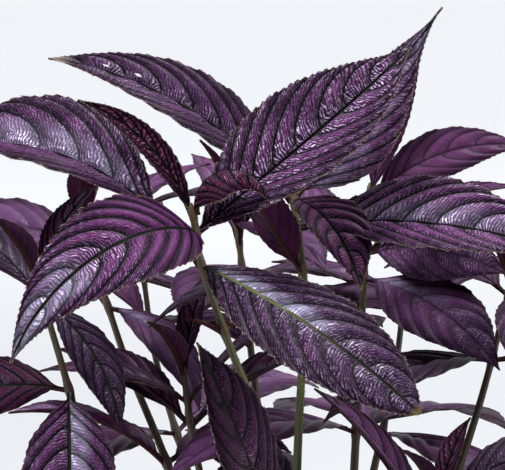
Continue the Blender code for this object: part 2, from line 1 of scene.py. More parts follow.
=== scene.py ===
"""Looks of the potted persian shield plant: fine leaves, stems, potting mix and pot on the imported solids.

Metres, +Z up, in the solids' own frame: the origin is the middle of the pot's underside, and the best side
faces -Y. The plan of stems and leaves repeats the one that the solids are built from, so each fine leaf
lies where its plain one does.
"""
import logging
import math
import random
from collections.abc import Iterable
from dataclasses import dataclass, field, replace
from enum import Enum
from functools import partial
from itertools import combinations

import bpy
import numpy as np
from mathutils import Euler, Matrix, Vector
from mathutils.bvhtree import BVHTree


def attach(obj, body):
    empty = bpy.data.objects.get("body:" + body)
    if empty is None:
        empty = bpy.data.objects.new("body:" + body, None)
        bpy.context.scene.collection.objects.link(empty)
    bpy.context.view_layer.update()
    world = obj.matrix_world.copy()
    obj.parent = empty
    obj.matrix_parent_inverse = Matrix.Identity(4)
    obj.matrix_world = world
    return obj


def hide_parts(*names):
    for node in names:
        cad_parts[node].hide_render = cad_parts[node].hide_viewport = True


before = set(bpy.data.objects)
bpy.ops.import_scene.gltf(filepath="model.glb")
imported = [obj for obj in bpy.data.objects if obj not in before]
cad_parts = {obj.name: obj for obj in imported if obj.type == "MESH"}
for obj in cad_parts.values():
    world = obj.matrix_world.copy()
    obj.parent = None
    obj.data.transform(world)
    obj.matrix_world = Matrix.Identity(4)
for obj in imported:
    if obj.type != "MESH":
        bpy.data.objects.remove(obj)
LOG = logging.getLogger("persian_shield")
BODY = "root"
MM = 1000.0

Array = np.ndarray
Maps = dict[str, np.ndarray]
Thing = bpy.types.Object
Material = bpy.types.Material
Place = tuple[float, float, float]
Colour = tuple[float, float, float]
Span = tuple[float, float]


class Slot(Enum):
    """The record's material slots."""

    POT = "pot_plastic"
    SOIL = "soil"
    FOLIAGE = "foliage"


class Detail(Enum):
    """How finely a leaf is meshed: rows to a side vein, columns to a half, and rows to a tooth."""

    HERO = (14, 96, 4)
    CLOSE = (12, 64, 4)
    SMALL = (8, 36, 3)
    PLAIN = (6, 20, 2)

    def __init__(self, rows: int, columns: int, tooth_rows: int) -> None:
        """Names the three numbers."""
        self.rows = rows
        self.columns = columns
        self.tooth_rows = tooth_rows


def linear(red: int, green: int, blue: int) -> Colour:
    """Turns a screen colour, 0 to 255, into the linear colour that a shader takes, 0 to 1."""
    parts = [part / 255 for part in (red, green, blue)]
    return tuple(part / 12.92 if part <= 0.04045 else ((part + 0.055) / 1.055) ** 2.4 for part in parts)


def smooth(low: float, high: float, x: Array) -> Array:
    """Eases values from 0 at low to 1 at high, which may be the smaller one."""
    u = np.clip((x - low) / (high - low), 0, 1)
    return u * u * (3 - 2 * u)


@dataclass(frozen=True)
class Tone:
    """What tells one leaf's colours from the next one's, painted light included: the silver strokes and the
    film are partly painted highlights and painted sheen, and light and haze are partly painted light that
    lifts leaves in shade or far back.

    Silver is how strongly each half shows its silvery strokes, between two places along the leaf. Film is
    the smooth silver beside the midrib, and its reach is in metres. Haze dulls a leaf toward a greyish
    mauve. A tone whose by_hand flag is true gets no random tint.
    """

    silver_left: float = 0.35
    silver_right: float = 0.35
    silver_from: float = 0.05
    silver_to: float = 0.95
    age: float = 1.0
    pale_rib: float = 0.0
    light: float = 0.5
    dry: float = 0.0
    sheen_film_left: float = 0.0
    sheen_film_right: float = 0.0
    sheen_film_from: float = -0.2
    sheen_film_to: float = 0.5
    sheen_film_reach: float = 0.012
    haze: float = 0.0
    by_hand: bool = False


@dataclass(frozen=True)
class Habit:
    """What all leaves and stems of this plant share. Lengths are in metres and angles in degrees."""

    petiole_half: float = 0.0013
    tip_half: float = 0.0005
    vein_sweep: float = 0.75
    vein_start: float = 0.45
    vein_curve: float = 1.4
    row_crowding: float = 1.6
    midrib_steps: int = 64
    wave: float = 0.0007
    wave_full_width: float = 0.010
    tooth: float = 0.0006
    clear: float = 0.0030
    guard_rows: int = 12
    guard_across: int = 5
    guard_stalk_rows: int = 3
    root_out: float = 0.0006
    stem_foot_radius: float = 0.0034
    stem_top_radius: float = 0.0016
    stem_point: float = 0.004
    stem_depth: float = 0.030
    stem_straight: float = 0.008
    stem_level: float = 0.137
    stem_curve_spans: int = 8


HABIT = Habit()


@dataclass(frozen=True)
class Leaf:
    """One leaf as it grows from its stem. Angles are in degrees, and heading runs from +X toward +Y."""

    at: float
    length: float
    width: float
    heading: float
    rise: float
    droop: float = 40.0
    sweep: float = 0.0
    roll: float = 0.0
    fold_left: float = 15.0
    fold_right: float = 15.0
    curl: float = 25.0
    belly: float = 1.0
    taper: float = 1.25
    petiole: float = 0.07
    detail: Detail = Detail.PLAIN
    veins: int = 8
    tone: Tone = Tone()
    bites: tuple = ()
    name: str = ""

    def root(self, curve: Array) -> Array:
        """Finds where the leaf starts, just off its stem's centre line on its own side."""
        out = np.array([math.cos(math.radians(self.heading)), math.sin(math.radians(self.heading)), 0.0])
        return on_curve(curve, self.at) + HABIT.root_out * out

    def midrib(self, root: Array, t: Array) -> tuple[Array, Array, Array]:
        """Follows the midrib.

        Args:
            root: Where the leaf starts.
            t: Places along it, from 0 to 1.

        Returns:
            The points, the way the upper face looks there, and its left.
        """
        steps = np.linspace(0, 1, HABIT.midrib_steps + 1)
        heading = np.radians(self.heading + self.sweep * steps)
        pitch = np.radians(self.rise - self.droop * steps)
        level = np.cos(pitch)
        along = np.stack([level * np.cos(heading), level * np.sin(heading), np.sin(pitch)], -1)
        middles = 0.5 * (along[1:] + along[:-1])
        path = np.vstack([np.zeros(3), np.cumsum(middles, axis=0)]) * self.length / HABIT.midrib_steps
        point = np.stack([np.interp(t, steps, path[:, k] + root[k]) for k in range(3)], -1)
        heading = np.radians(self.heading + self.sweep * t)
        pitch = np.radians(self.rise - self.droop * t)
        level = np.stack([np.cos(heading), np.sin(heading), 0 * t], -1)
        up = np.array([0.0, 0.0, 1.0])
        along = np.cos(pitch)[..., None] * level + np.sin(pitch)[..., None] * up
        normal = np.cos(pitch)[..., None] * up - np.sin(pitch)[..., None] * level
        left = np.cross(normal, along)
        cos_roll, sin_roll = math.cos(math.radians(self.roll)), math.sin(math.radians(self.roll))
        return point, normal * cos_roll + left * sin_roll, left * cos_roll - normal * sin_roll

    def half_width(self, t: Array) -> Array:
        """Gives half the blade's width: a stalk, a belly and a long point.

        Args:
            t: Places along the leaf, from 0 to 1.

        Returns:
            The half widths.
        """
        u = np.clip((t - self.petiole) / (1 - self.petiole), 0, 1)
        widest = self.belly / (self.belly + self.taper)
        swell = (u / widest) ** self.belly * ((1 - u) / (1 - widest)) ** self.taper
        stalk = HABIT.petiole_half + (HABIT.tip_half - HABIT.petiole_half) * t
        return np.maximum(0.5 * self.width * swell, stalk)

    def along(self, v: Array, s: Array) -> Array:
        """Gives the place along the leaf of points on rows that sweep forward with the side veins."""
        start = v ** HABIT.row_crowding
        forward = HABIT.vein_sweep * np.abs(s) ** HABIT.vein_curve
        return start + forward * (1 - start) * start ** HABIT.vein_start

    def surface(
        self, root: Array, v: Array, s: Array, out: Array, up: Array,
    ) -> Array:
        """Places points of the folded, curled blade.

        Args:
            root: Where the leaf starts.
            v: The rows, from 0 at the base to 1 at the tip.
            s: The places across, from -1 at the right edge to 1 at the left.
            out: How far each point stands out in the blade's plane.
            up: How far each point stands up from the blade.

        Returns:
            The points.
        """
        t = self.along(v, s)
        point, normal, left = self.midrib(root, t)
        half = self.half_width(t)
        reach = np.minimum(1, half / HABIT.wave_full_width)
        half = half + out * reach
        fold = np.radians(np.where(s > 0, self.fold_left, self.fold_right))
        curl = math.radians(self.curl)
        side = half * (np.sin(fold) - np.sin(fold - curl * np.abs(s))) / curl
        lift = half * (np.cos(fold - curl * np.abs(s)) - np.cos(fold)) / curl + up * reach
        return point + (np.sign(s) * side)[..., None] * left + lift[..., None] * normal

    def guard(self, root: Array, from_row: int = 0) -> BVHTree:
        """Gives the space that the leaf wants: its plain blade, fattened, from a row onward.

        Args:
            root: Where the leaf starts.
            from_row: The first row that counts.

        Returns:
            The space as a tree to test against others.
        """
        rows, across = HABIT.guard_rows, HABIT.guard_across
        s = np.tile(np.linspace(-1, 1, across), (rows + 1, 1))
        v = np.tile(np.arange(rows + 1)[:, None] / rows, (1, across))
        crest = np.where(np.arange(rows + 1) % 2 == 0, 1.0, -1.0)[:, None]
        out = HABIT.tooth * crest * (np.abs(s) == 1)
        up = HABIT.wave * crest * np.minimum(1, 2 * np.abs(s))
        grid = self.surface(root, v, s, out, up)
        step = outward_steps(grid) * HABIT.clear / 2
        points = np.concatenate([(grid + step).reshape(-1, 3), (grid - step).reshape(-1, 3)])
        faces = plain_blade_faces(rows, across)
        row_of = [(i % ((rows + 1) * across)) // across for i in range(len(points))]
        kept = [face for face in faces if min(row_of[i] for i in face) >= from_row]
        return BVHTree.FromPolygons([tuple(p) for p in points], kept)


@dataclass(frozen=True)
class Shoot:
    """One leafy stem: the points it runs through, its own leaves, and nodes that a rule fills."""

    name: str
    route: tuple
    leaves: tuple[Leaf, ...] = ()
    nodes: tuple = ()
    youngest: float = 0.0

    def curve(self) -> Array:
        """Gives the stem's centre line, from its foot in the soil to its top, upright in its hole."""
        x, y = self.route[0]
        rises = (-HABIT.stem_depth, 0, HABIT.stem_straight)
        upright = np.array([(x, y, HABIT.stem_level + rise) for rise in rises])
        above = spline(np.vstack([upright[1:], np.array(self.route[1:])]), HABIT.stem_curve_spans)
        return np.vstack([upright[:1], above])


def spline(points: Array, spans: int) -> Array:
    """Draws a smooth curve through points.

    Args:
        points: What it runs through.
        spans: How many spans it has from each point to the next.

    Returns:
        The curve's points.
    """
    ends = np.vstack([2 * points[0] - points[1], points, 2 * points[-1] - points[-2]])
    u = np.linspace(0, 1, spans, endpoint=False)[:, None]
    curve = []
    for a, b, c, d in zip(ends, ends[1:], ends[2:], ends[3:]):
        curve.append(b + 0.5 * u * (c - a + u * (2 * a - 5 * b + 4 * c - d + u * (3 * (b - c) + d - a))))
    return np.vstack(curve + [points[-1:]])


def on_curve(curve: Array, height: float) -> Array:
    """Finds the point of a stem's centre line at a height above the pot's underside."""
    return np.array([np.interp(height, curve[:, 2], curve[:, k]) for k in range(3)])


def outward_steps(grid: Array, least: float = 0.0) -> Array:
    """Gives the way out of a blade's upper face, long enough for an even thickness where it folds.

    Args:
        grid: The blade's middle surface, rows by columns.
        least: What the squared length of two neighbouring faces' summed normals counts for at least.

    Returns:
        One step for each point.
    """
    along = np.gradient(grid, axis=0)
    right = grid[:, 1:-1] - grid[:, :-2]
    left = grid[:, 2:] - grid[:, 1:-1]
    edge_right = (grid[:, 1] - grid[:, 0])[:, None]
    edge_left = (grid[:, -1] - grid[:, -2])[:, None]
    before = np.cross(along, np.concatenate([edge_right, right, edge_left], axis=1))
    after = np.cross(along, np.concatenate([edge_right, left, edge_left], axis=1))
    before /= np.linalg.norm(before, axis=-1, keepdims=True)
    after /= np.linalg.norm(after, axis=-1, keepdims=True)
    total = before + after
    return total / (0.5 * np.maximum(least, np.sum(total * total, axis=-1, keepdims=True)))


def plain_blade_faces(rows: int, across: int) -> list[tuple[int, int, int]]:
    """Gives the triangles of a plain closed blade, alike on both faces and mirrored at the midrib.

    Args:
        rows: How many bands of faces it has along.
        across: How many points it has across.

    Returns:
        The triangles' points.
    """
    under = (rows + 1) * across
    faces = []
    for i in range(rows):
        for j in range(across - 1):
            a = i * across + j
            b, c, d = a + 1, a + across + 1, a + across
            split = ((a, b, c), (a, c, d)) if j >= across // 2 else ((a, b, d), (b, c, d))
            for p, q, r in split:
                faces.append((p, r, q))
                faces.append((p + under, q + under, r + under))
    border = list(range(across))
    border += [i * across + across - 1 for i in range(1, rows + 1)]
    border += [rows * across + j for j in range(across - 2, -1, -1)]
    border += [i * across for i in range(rows - 1, 0, -1)]
    for a, b in zip(border, border[1:] + border[:1]):
        faces.append((a, b, b + under))
        faces.append((a, b + under, a + under))
    return faces


@dataclass(frozen=True)
class PairRule:
    """How the pairs of leaves that no shoot lists look. A pair's age counts the pairs above it."""

    mature_length: float = 0.150
    mature_width: float = 0.058
    bud_growth: float = 0.34
    growth_a_pair: float = 0.30
    growth_spread: Span = (0.90, 1.08)
    width_power: float = 1.3
    bud_rise: float = 68
    rise_lost_a_pair: float = 20
    lowest_rise: float = -5
    bud_droop: float = 30
    droop_a_pair: float = 9
    most_droop_pairs: float = 4
    bud_fold: float = 45
    fold_lost_a_pair: float = 12
    least_fold: float = 12
    bud_age: float = 0.35
    age_a_pair: float = 0.35
    turn_spread: float = 12
    tilt_spread: float = 8

    def pairs(self, shoot: Shoot, draw: random.Random) -> list[Leaf]:
        """Gives opposite pairs at a shoot's nodes: small and steep at the top, large and low below.

        Args:
            shoot: The leafy stem.
            draw: Where the random draws come from.

        Returns:
            The leaves.
        """
        turned = partial(draw.uniform, -self.turn_spread, self.turn_spread)
        tilted = partial(draw.uniform, -self.tilt_spread, self.tilt_spread)
        leaves = []
        for rank, (at, heading) in enumerate(shoot.nodes):
            age = shoot.youngest + rank
            tone = Tone(age=min(1.0, self.bud_age + self.age_a_pair * age))
            growth = min(1.0, self.bud_growth + self.growth_a_pair * age)
            growth *= draw.uniform(*self.growth_spread)
            rise = max(self.lowest_rise, self.bud_rise - self.rise_lost_a_pair * age)
            droop = self.bud_droop + self.droop_a_pair * min(age, self.most_droop_pairs)
            fold = max(self.least_fold, self.bud_fold - self.fold_lost_a_pair * age)
            for turn in (0, 180):
                leaves.append(Leaf(
                    at, self.mature_length * growth, self.mature_width * growth ** self.width_power,
                    heading + turn + turned(), rise + tilted(), droop + tilted(), turned(), turned(),
                    fold, fold, tone=tone,
                ))
        return leaves


@dataclass(frozen=True)
class Growth:
    """Grows all shoots: the listed leaves first, then the rule's, each bent clear of the others."""

    shoots: tuple[Shoot, ...]
    rule: PairRule = PairRule()
    seed: int = 7
    turns: tuple[int, ...] = (0, -10, 10, -20, 20, -30, 30)
    lifts: tuple[int, ...] = (0, 8, -8, 16, -16, 26, -26)
    lift_cost: float = 1.2
    soil_edge: float = 0.132
    soil_sides: int = 26
    mound_guard_radius: float = 0.010
    mound_guard_rise: float = 0.012
    stem_sides: int = 5
    stem_ring_step: float = 0.060
    stem_ring_gap: float = 0.0035
    stem_bare_top: float = 0.020
    stem_point_share: float = 0.4

    def bends(self) -> list[tuple[int, int]]:
        """Gives turns and lifts to try, the smallest first."""
        pairs = [(turn, lift) for turn in self.turns for lift in self.lifts]
        return sorted(pairs, key=lambda bend: abs(bend[0]) + self.lift_cost * abs(bend[1]))

    def pot_guard(self, pot: "Pot") -> BVHTree:
        """Gives the pot's outside and a cone over the soil, which leaves keep clear of.

        Args:
            pot: The pot.

        Returns:
            The space as a tree to test against others.
        """
        rings = (
            (pot.foot_radius, 0.0),
            (pot.radius + pot.rim_out + HABIT.clear, pot.height + HABIT.clear),
            (self.mound_guard_radius, self.soil_edge + self.mound_guard_rise),
        )
        points = [point for radius, z in rings for point in circle(radius, z, self.soil_sides)]
        return BVHTree.FromPolygons(points, bands(len(rings), self.soil_sides))

    def stem_guard(self, curve: Array) -> BVHTree:
        """Gives the space that a stem wants.

        Args:
            curve: The stem's centre line.

        Returns:
            The space as a tree to test against others.
        """
        foot, top = curve[0, 2], curve[-1, 2]
        upright = HABIT.stem_level + HABIT.stem_straight
        between = np.arange(upright, top - self.stem_bare_top, self.stem_ring_step)
        heights = []
        for z in sorted([foot, top - HABIT.stem_point, top, *between]):
            if not heights or z - heights[-1] > self.stem_ring_gap:
                heights.append(z)
        points = []
        for z in heights:
            across, beyond = stem_axes(curve, z)
            share = self.stem_point_share if z == heights[-1] else 1
            radius = stem_radius(curve, z) * share + HABIT.clear / 2
            for k in range(self.stem_sides):
                turn = math.tau * k / self.stem_sides
                way = math.cos(turn) * across + math.sin(turn) * beyond
                points.append(on_curve(curve, z) + radius * way)
        return BVHTree.FromPolygons([tuple(p) for p in points], tube(len(heights), self.stem_sides))

    def grow(self, pot: "Pot") -> dict[str, tuple[Array, list[Leaf]]]:
        """Grows every shoot.

        Args:
            pot: The pot, which leaves keep clear of.

        Returns:
            Each shoot's centre line and leaves.
        """
        draw = random.Random(self.seed)
        curves = {shoot.name: shoot.curve() for shoot in self.shoots}
        wishes = [(shoot, leaf, True) for shoot in self.shoots for leaf in shoot.leaves]
        wishes += [(shoot, leaf, False) for shoot in self.shoots for leaf in self.rule.pairs(shoot, draw)]
        taken = [("pot", self.pot_guard(pot))]
        taken += [(name, self.stem_guard(curve)) for name, curve in curves.items()]
        own = {name: [] for name in curves}
        grown = {name: (curve, []) for name, curve in curves.items()}
        for shoot, wish, by_hand in wishes:
            others = [tree for owner, tree in taken if owner != shoot.name]
            siblings = [] if by_hand else own[shoot.name]
            for turn, lift in self.bends():
                leaf = replace(wish, heading=wish.heading + turn, rise=wish.rise + lift)
                root = leaf.root(curves[shoot.name])
                whole = leaf.guard(root)
                outer = leaf.guard(root, HABIT.guard_stalk_rows)
                if not any(map(whole.overlap, others)) and not any(map(outer.overlap, siblings)):
                    grown[shoot.name][1].append(leaf)
                    taken.append((shoot.name, whole))
                    own[shoot.name].append(outer)
                    break
        return grown


def circle(radius: float, z: float, sides: int) -> list[Place]:
    """Gives points round a level circle on the pot's axis, from +X toward +Y."""
    turns = [math.tau * k / sides for k in range(sides)]
    return [(radius * math.cos(turn), radius * math.sin(turn), z) for turn in turns]


def bands(rings: int, sides: int) -> list[tuple[int, int, int, int]]:
    """Gives the quads between rings of points that follow one another.

    Args:
        rings: How many rings.
        sides: How many points in each.

    Returns:
        The quads' points.
    """
    faces = []
    for ring in range(rings - 1):
        for k in range(sides):
            a = ring * sides + k
            b = ring * sides + (k + 1) % sides
            faces.append((a, b, b + sides, a + sides))
    return faces


def tube(rings: int, sides: int, start: int = 0) -> list[tuple[int, ...]]:
    """Gives the faces of a closed tube: the quads between its rings, then its two ends.

    Args:
        rings: How many rings of points.
        sides: How many points in each.
        start: The index of the first point.

    Returns:
        The faces' points.
    """
    first, last = start, start + (rings - 1) * sides
    quads = [tuple(i + start for i in quad) for quad in bands(rings, sides)]
    return [*quads, tuple(range(first + sides - 1, first - 1, -1)), tuple(range(last, last + sides))]


def stem_radius(curve: Array, z: float) -> float:
    """Gives a stem's plain radius at a height: it narrows evenly from its foot to its top."""
    share = (z - curve[0, 2]) / (curve[-1, 2] - curve[0, 2])
    return HABIT.stem_foot_radius + (HABIT.stem_top_radius - HABIT.stem_foot_radius) * share


def stem_axes(curve: Array, z: float) -> tuple[Array, Array]:
    """Gives two directions square to a stem at a height.

    Args:
        curve: The stem's centre line.
        z: The height.

    Returns:
        The two directions.
    """
    foot, top = curve[0, 2], curve[-1, 2]
    above, below = min(z + HABIT.stem_point, top), max(z - HABIT.stem_point, foot)
    ahead = on_curve(curve, above) - on_curve(curve, below)
    if z < HABIT.stem_level + HABIT.stem_straight:
        ahead = np.array([0.0, 0.0, 1.0])
    ahead = ahead / np.linalg.norm(ahead)
    across = np.cross(np.array([0.0, 1.0, 0.0]), ahead)
    across = across / np.linalg.norm(across)
    return across, np.cross(ahead, across)


def ripple(flat: Array, wave: float, seed: float) -> Array:
    """Gives a smooth random pattern from about -1 to 1.

    Args:
        flat: Where it is read, in metres.
        wave: How far apart its crests are, about.
        seed: What sets one leaf's pattern apart from the next one's.

    Returns:
        The pattern.
    """
    waves, level = 9, 3.6
    draw = np.random.default_rng(int(seed * MM))
    total = 0 * flat[..., 0]
    for _ in range(waves):
        way, shift = draw.uniform(0, math.tau, 2)
        size = math.tau / wave * draw.uniform(0.7, 1.4)
        total = total + np.sin(size * (flat[..., 0] * math.cos(way) + flat[..., 1] * math.sin(way)) + shift)
    return total / level


def shown(name: str, data: bpy.types.ID) -> Thing:
    """Makes an object from its data and links it to the scene."""
    thing = bpy.data.objects.new(name, data)
    bpy.context.scene.collection.objects.link(thing)
    return thing


def soften(thing: Thing, sharp: float) -> Thing:
    """Shades an object smooth, but for edges that turn by more than an angle in degrees."""
    thing.data.shade_smooth()
    thing.data.set_sharp_from_angle(angle=math.radians(sharp))
    return thing


@dataclass
class Draft:
    """A mesh in the making: points, polygons, and what the finishes read from each point."""

    points: list[Array] = field(default_factory=list)
    polygons: list[Array] = field(default_factory=list)
    slots: list[int] = field(default_factory=list)
    places: list[Array] = field(default_factory=list)
    maps: dict[str, list[tuple[int, Array]]] = field(default_factory=dict)
    count: int = 0
    sharp: float = 60.0

    def add_points(self, points: Array, maps: Maps) -> int:
        """Adds points.

        Args:
            points: The points.
            maps: For each map's name, three numbers for each point.

        Returns:
            The index of the first of them.
        """
        first = self.count
        self.points.append(points)
        for name, values in maps.items():
            self.maps.setdefault(name, []).append((first, values))
        self.count += len(points)
        return first

    def add_faces(self, polygons: Array, slot: int, places: Array) -> None:
        """Adds polygons of one size.

        Args:
            polygons: Their points, one row for each.
            slot: Their finish, as an index.
            places: The place of each corner on the bake's map.
        """
        self.polygons.append(polygons)
        self.slots.append(slot)
        self.places.append(places)

    def finish(self, name: str, finishes: list[Material]) -> Thing:
        """Makes the object.

        Args:
            name: The object's name.
            finishes: Its materials, in the order of the slots.

        Returns:
            The object, linked to the scene.
        """
        mesh = bpy.data.meshes.new(name)
        points = np.concatenate(self.points)
        sizes = np.concatenate([np.full(len(part), part.shape[1]) for part in self.polygons])
        slots = np.concatenate([np.full(len(part), slot) for part, slot in zip(self.polygons, self.slots)])
        corners = np.concatenate([part.ravel() for part in self.polygons])
        starts = np.concatenate([[0], np.cumsum(sizes)[:-1]])
        mesh.vertices.add(len(points))
        mesh.vertices.foreach_set("co", points.astype(np.float32).ravel())
        mesh.loops.add(len(corners))
        mesh.loops.foreach_set("vertex_index", corners.astype(np.int32))
        mesh.polygons.add(len(sizes))
        mesh.polygons.foreach_set("loop_start", starts.astype(np.int32))
        mesh.update(calc_edges=True)
        mesh.polygons.foreach_set("material_index", slots.astype(np.int32))
        for finish in finishes:
            mesh.materials.append(finish)
        for key, parts in self.maps.items():
            values = np.zeros((len(points), 3), np.float32)
            for first, part in parts:
                values[first:first + len(part)] = part
            layer = mesh.attributes.new(key, "FLOAT_VECTOR", "POINT")
            layer.data.foreach_set("vector", values.ravel())
        layer = mesh.uv_layers.new(name="OFBake")
        places = np.concatenate([part.reshape(-1, 2) for part in self.places])
        layer.uv.foreach_set("vector", places.astype(np.float32).ravel())
        return soften(shown(name, mesh), self.sharp)


@dataclass(frozen=True)
class Sheet:
    """Cells of a piece's bake map, one for each strip of its surface."""

    strips: int
    tallness: float = 2.5
    margin: float = 0.05

    def cell(self, index: int) -> tuple[Array, Array]:
        """Gives a strip's cell.

        Args:
            index: The strip.

        Returns:
            Its lower left corner and its size on the map, without the margins.
        """
        columns = math.ceil(math.sqrt(self.strips * self.tallness))
        rows = math.ceil(self.strips / columns)
        row, column = divmod(index, columns)
        size = np.array([1 / columns, 1 / rows])
        corner = (np.array([column, row]) + self.margin) * size
        return corner, size * (1 - 2 * self.margin)

    def gap(self) -> float:
        """Gives the width of the margin round a cell, on the map."""
        return self.margin / math.ceil(math.sqrt(self.strips * self.tallness))


@dataclass(frozen=True)
class Berth:
    """Where one part of a piece goes: the mesh, its finish's index and its cells of the bake map."""

    draft: Draft
    slot: int
    sheet: Sheet
    strip: int

    def cell(self, side: int = 0) -> tuple[Array, Array]:
        """Gives the corner and the size of one of its cells."""
        return self.sheet.cell(self.strip + side)


@dataclass(frozen=True)
class Blade:
    """A leaf's fine form: puffed tissue between sunken veins, a cut edge, and ribs on the underside.

    Lengths are in metres. A pair of numbers says where something starts to ease in and where it is full.
    """

    leaf: Leaf
    seed: float = 0.0
    thick: float = 0.0004
    puff_share: float = 0.17
    most_puff: float = 0.0019
    rung: float = 0.00050
    rung_pitch: float = 0.0028
    outer_pitch: float = 0.0016
    rung_wander: float = 0.20
    wander_wave: float = 0.007
    rung_unevenness: float = 0.9
    uneven_wave: float = 0.005
    dimple: float = 0.00012
    dimple_wave: float = 0.0028
    lean_in: float = 0.14
    lean_out: float = 0.19
    rung_offset: float = 0.618
    groove: float = 0.0006
    groove_half: float = 0.0008
    rib: float = 0.0016
    rib_half: float = 0.0011
    side_rib: float = 0.00035
    side_rib_half: float = 0.0006
    tooth: float = 0.0010
    half_shift: float = 0.25
    crowding: float = 1.35
    bow: float = 0.20
    bow_ends: Span = (0.1, 0.8)
    least_strength: float = 0.25
    strong_from_rib: Span = (0.016, 0.003)
    strong_from_rim: Span = (0.010, 0.002)
    rim_strength: float = 0.7
    puff_level: float = 0.5
    puff_from_rib: float = 0.004
    rung_ends: float = 3
    rung_from_rib: Span = (0.001, 0.003)
    rung_from_rim: float = 0.002
    rung_loss: float = 0.7
    rung_power: float = 0.8
    rung_level: float = 0.6
    groove_loss: float = 0.7
    rib_loss: float = 0.8
    side_rib_from_rim: float = 0.004
    tooth_swing: float = 1.6
    tooth_level: float = 0.6
    tooth_from: float = 0.93
    silver_fade: Span = (0.08, 0.12)
    sheen_film_fade: Span = (0.2, 0.1)
    sheen_film_core: float = 0.3
    pattern_shift: float = 40
    least_turn: float = 1.5
    ratio: int = 2

    def grid(self) -> tuple[Array, Array]:
        """Gives the row and the place across of each point of the upper face."""
        rows = self.leaf.veins * self.leaf.detail.rows
        u = np.linspace(-1, 1, 2 * self.leaf.detail.columns + 1)
        s = np.sign(u) * np.abs(u) ** self.crowding
        return np.tile(np.arange(rows + 1)[:, None] / rows, (1, len(u))), np.tile(s, (rows + 1, 1))

    def measure(self, v: Array, s: Array) -> Maps:
        """Measures the leaf as if it lay flat.

        Args:
            v: The rows.
            s: The places across.

        Returns:
            For each point: vein counts the side veins, run is the way along one from the midrib, gap the
            way from one to the next, rim the way to the edge, along the place along the leaf, phase counts
            the small veins that cross between two side veins, flat is the place on the flat leaf, strength
            how strong the strokes are there, and outward the share of the way to the edge.
        """
        t = self.leaf.along(v, s)
        half = self.leaf.half_width(t)
        flat = np.stack([t * self.leaf.length, s * half], -1)
        across = np.gradient(flat, axis=1)
        ahead = np.gradient(flat, axis=0) * self.leaf.detail.rows
        width = np.linalg.norm(across, axis=-1)
        area = np.abs(ahead[..., 0] * across[..., 1] - ahead[..., 1] * across[..., 0])
        gap = area / np.maximum(width, 1e-9)
        steps = np.linalg.norm(np.diff(flat, axis=1), axis=-1)
        total = np.concatenate([np.zeros((len(t), 1)), np.cumsum(steps, axis=1)], axis=1)
        run = np.abs(total - total[:, [total.shape[1] // 2]])
        rim = (1 - np.abs(s)) * half
        bow = 4 * self.bow * np.abs(s) * (1 - np.abs(s))
        bow = bow * smooth(0, self.bow_ends[0], v) * smooth(1, self.bow_ends[1], v)
        vein = v * self.leaf.veins + np.where(s < 0, self.half_shift, 0) + bow
        cell = np.floor(vein + 0.5)
        outward = smooth(0, 1, run / (run + rim + 1e-6))
        lean = self.lean_in + (self.lean_out - self.lean_in) * outward
        pitch = self.rung_pitch + (self.outer_pitch - self.rung_pitch) * outward
        phase = (run * np.sin(lean) + (vein - cell) * gap * np.cos(lean)) / pitch
        wander = self.rung_wander * ripple(flat, self.wander_wave, self.seed)
        phase = phase + self.rung_offset * cell + wander
        uneven = 1 + self.rung_unevenness * ripple(flat, self.uneven_wave, self.seed + 1)
        near = np.maximum(
            smooth(*self.strong_from_rib, run), self.rim_strength * smooth(*self.strong_from_rim, rim))
        strength = np.clip(uneven * (self.least_strength + near), 0, 1)
        return {
            "vein": vein, "run": run, "gap": gap, "rim": rim, "along": t, "phase": phase, "flat": flat,
            "strength": strength, "outward": outward,
        }

    def relief(self, sizes: Maps) -> Array:
        """Gives how far the upper face stands up: pillows between veins, rungs on them, a sunken midrib.

        Args:
            sizes: What measure gives.

        Returns:
            The heights.
        """
        run = sizes["run"]
        inside = 1 - 2 * np.abs(sizes["vein"] - np.floor(sizes["vein"] + 0.5))
        puff = np.minimum(self.puff_share * sizes["gap"], self.most_puff)
        hump = puff * (np.sin(0.5 * np.pi * inside) - self.puff_level) * smooth(0, self.puff_from_rib, run)
        fade = np.minimum(1, self.rung_ends * inside) * smooth(*self.rung_from_rib, run)
        fade = fade * smooth(0, self.rung_from_rim, sizes["rim"]) * (1 - self.rung_loss * sizes["outward"])
        ladder = np.abs(np.sin(np.pi * sizes["phase"])) ** self.rung_power - self.rung_level
        rungs = self.rung * ladder * fade * sizes["strength"]
        rungs = rungs + self.dimple * ripple(sizes["flat"], self.dimple_wave, self.seed + 2) * fade
        if self.leaf.detail is Detail.PLAIN:
            rungs = 0 * rungs
        groove = self.groove * np.exp(-(run / self.groove_half) ** 2)
        return hump + rungs - groove * (1 - self.groove_loss * sizes["along"])

    def underside(self, sizes: Maps, relief: Array) -> Array:
        """Gives the underside's height: thickness, midrib and side ribs stand down from the blade.

        Args:
            sizes: What measure gives.
            relief: What relief gives, at the same points.

        Returns:
            The heights, which are negative below the plain blade.
        """
        off = np.abs(sizes["vein"] - np.floor(sizes["vein"] + 0.5))
        to_vein = (0.5 - off) * sizes["gap"]
        thin = 1 - self.rib_loss * sizes["along"]
        rib = self.rib * thin * np.exp(-(sizes["run"] / self.rib_half) ** 2)
        side = self.side_rib * thin * np.exp(-(to_vein / self.side_rib_half) ** 2)
        return relief - self.thick - rib - side * smooth(0, self.side_rib_from_rim, sizes["rim"])

    def teeth(self, v: Array, s: Array) -> Array:
        """Gives how far the edge's teeth stand out: they lean toward the tip.

        Args:
            v: The rows.
            s: The places across.

        Returns:
            The lengths, which are 0 inside the edge.
        """
        row = np.rint(v * self.leaf.veins * self.leaf.detail.rows)
        step = (row % self.leaf.detail.tooth_rows) / self.leaf.detail.tooth_rows
        out = self.tooth * (step * self.tooth_swing - self.tooth_level)
        return out * smooth(self.tooth_from, 1.0, np.abs(s))

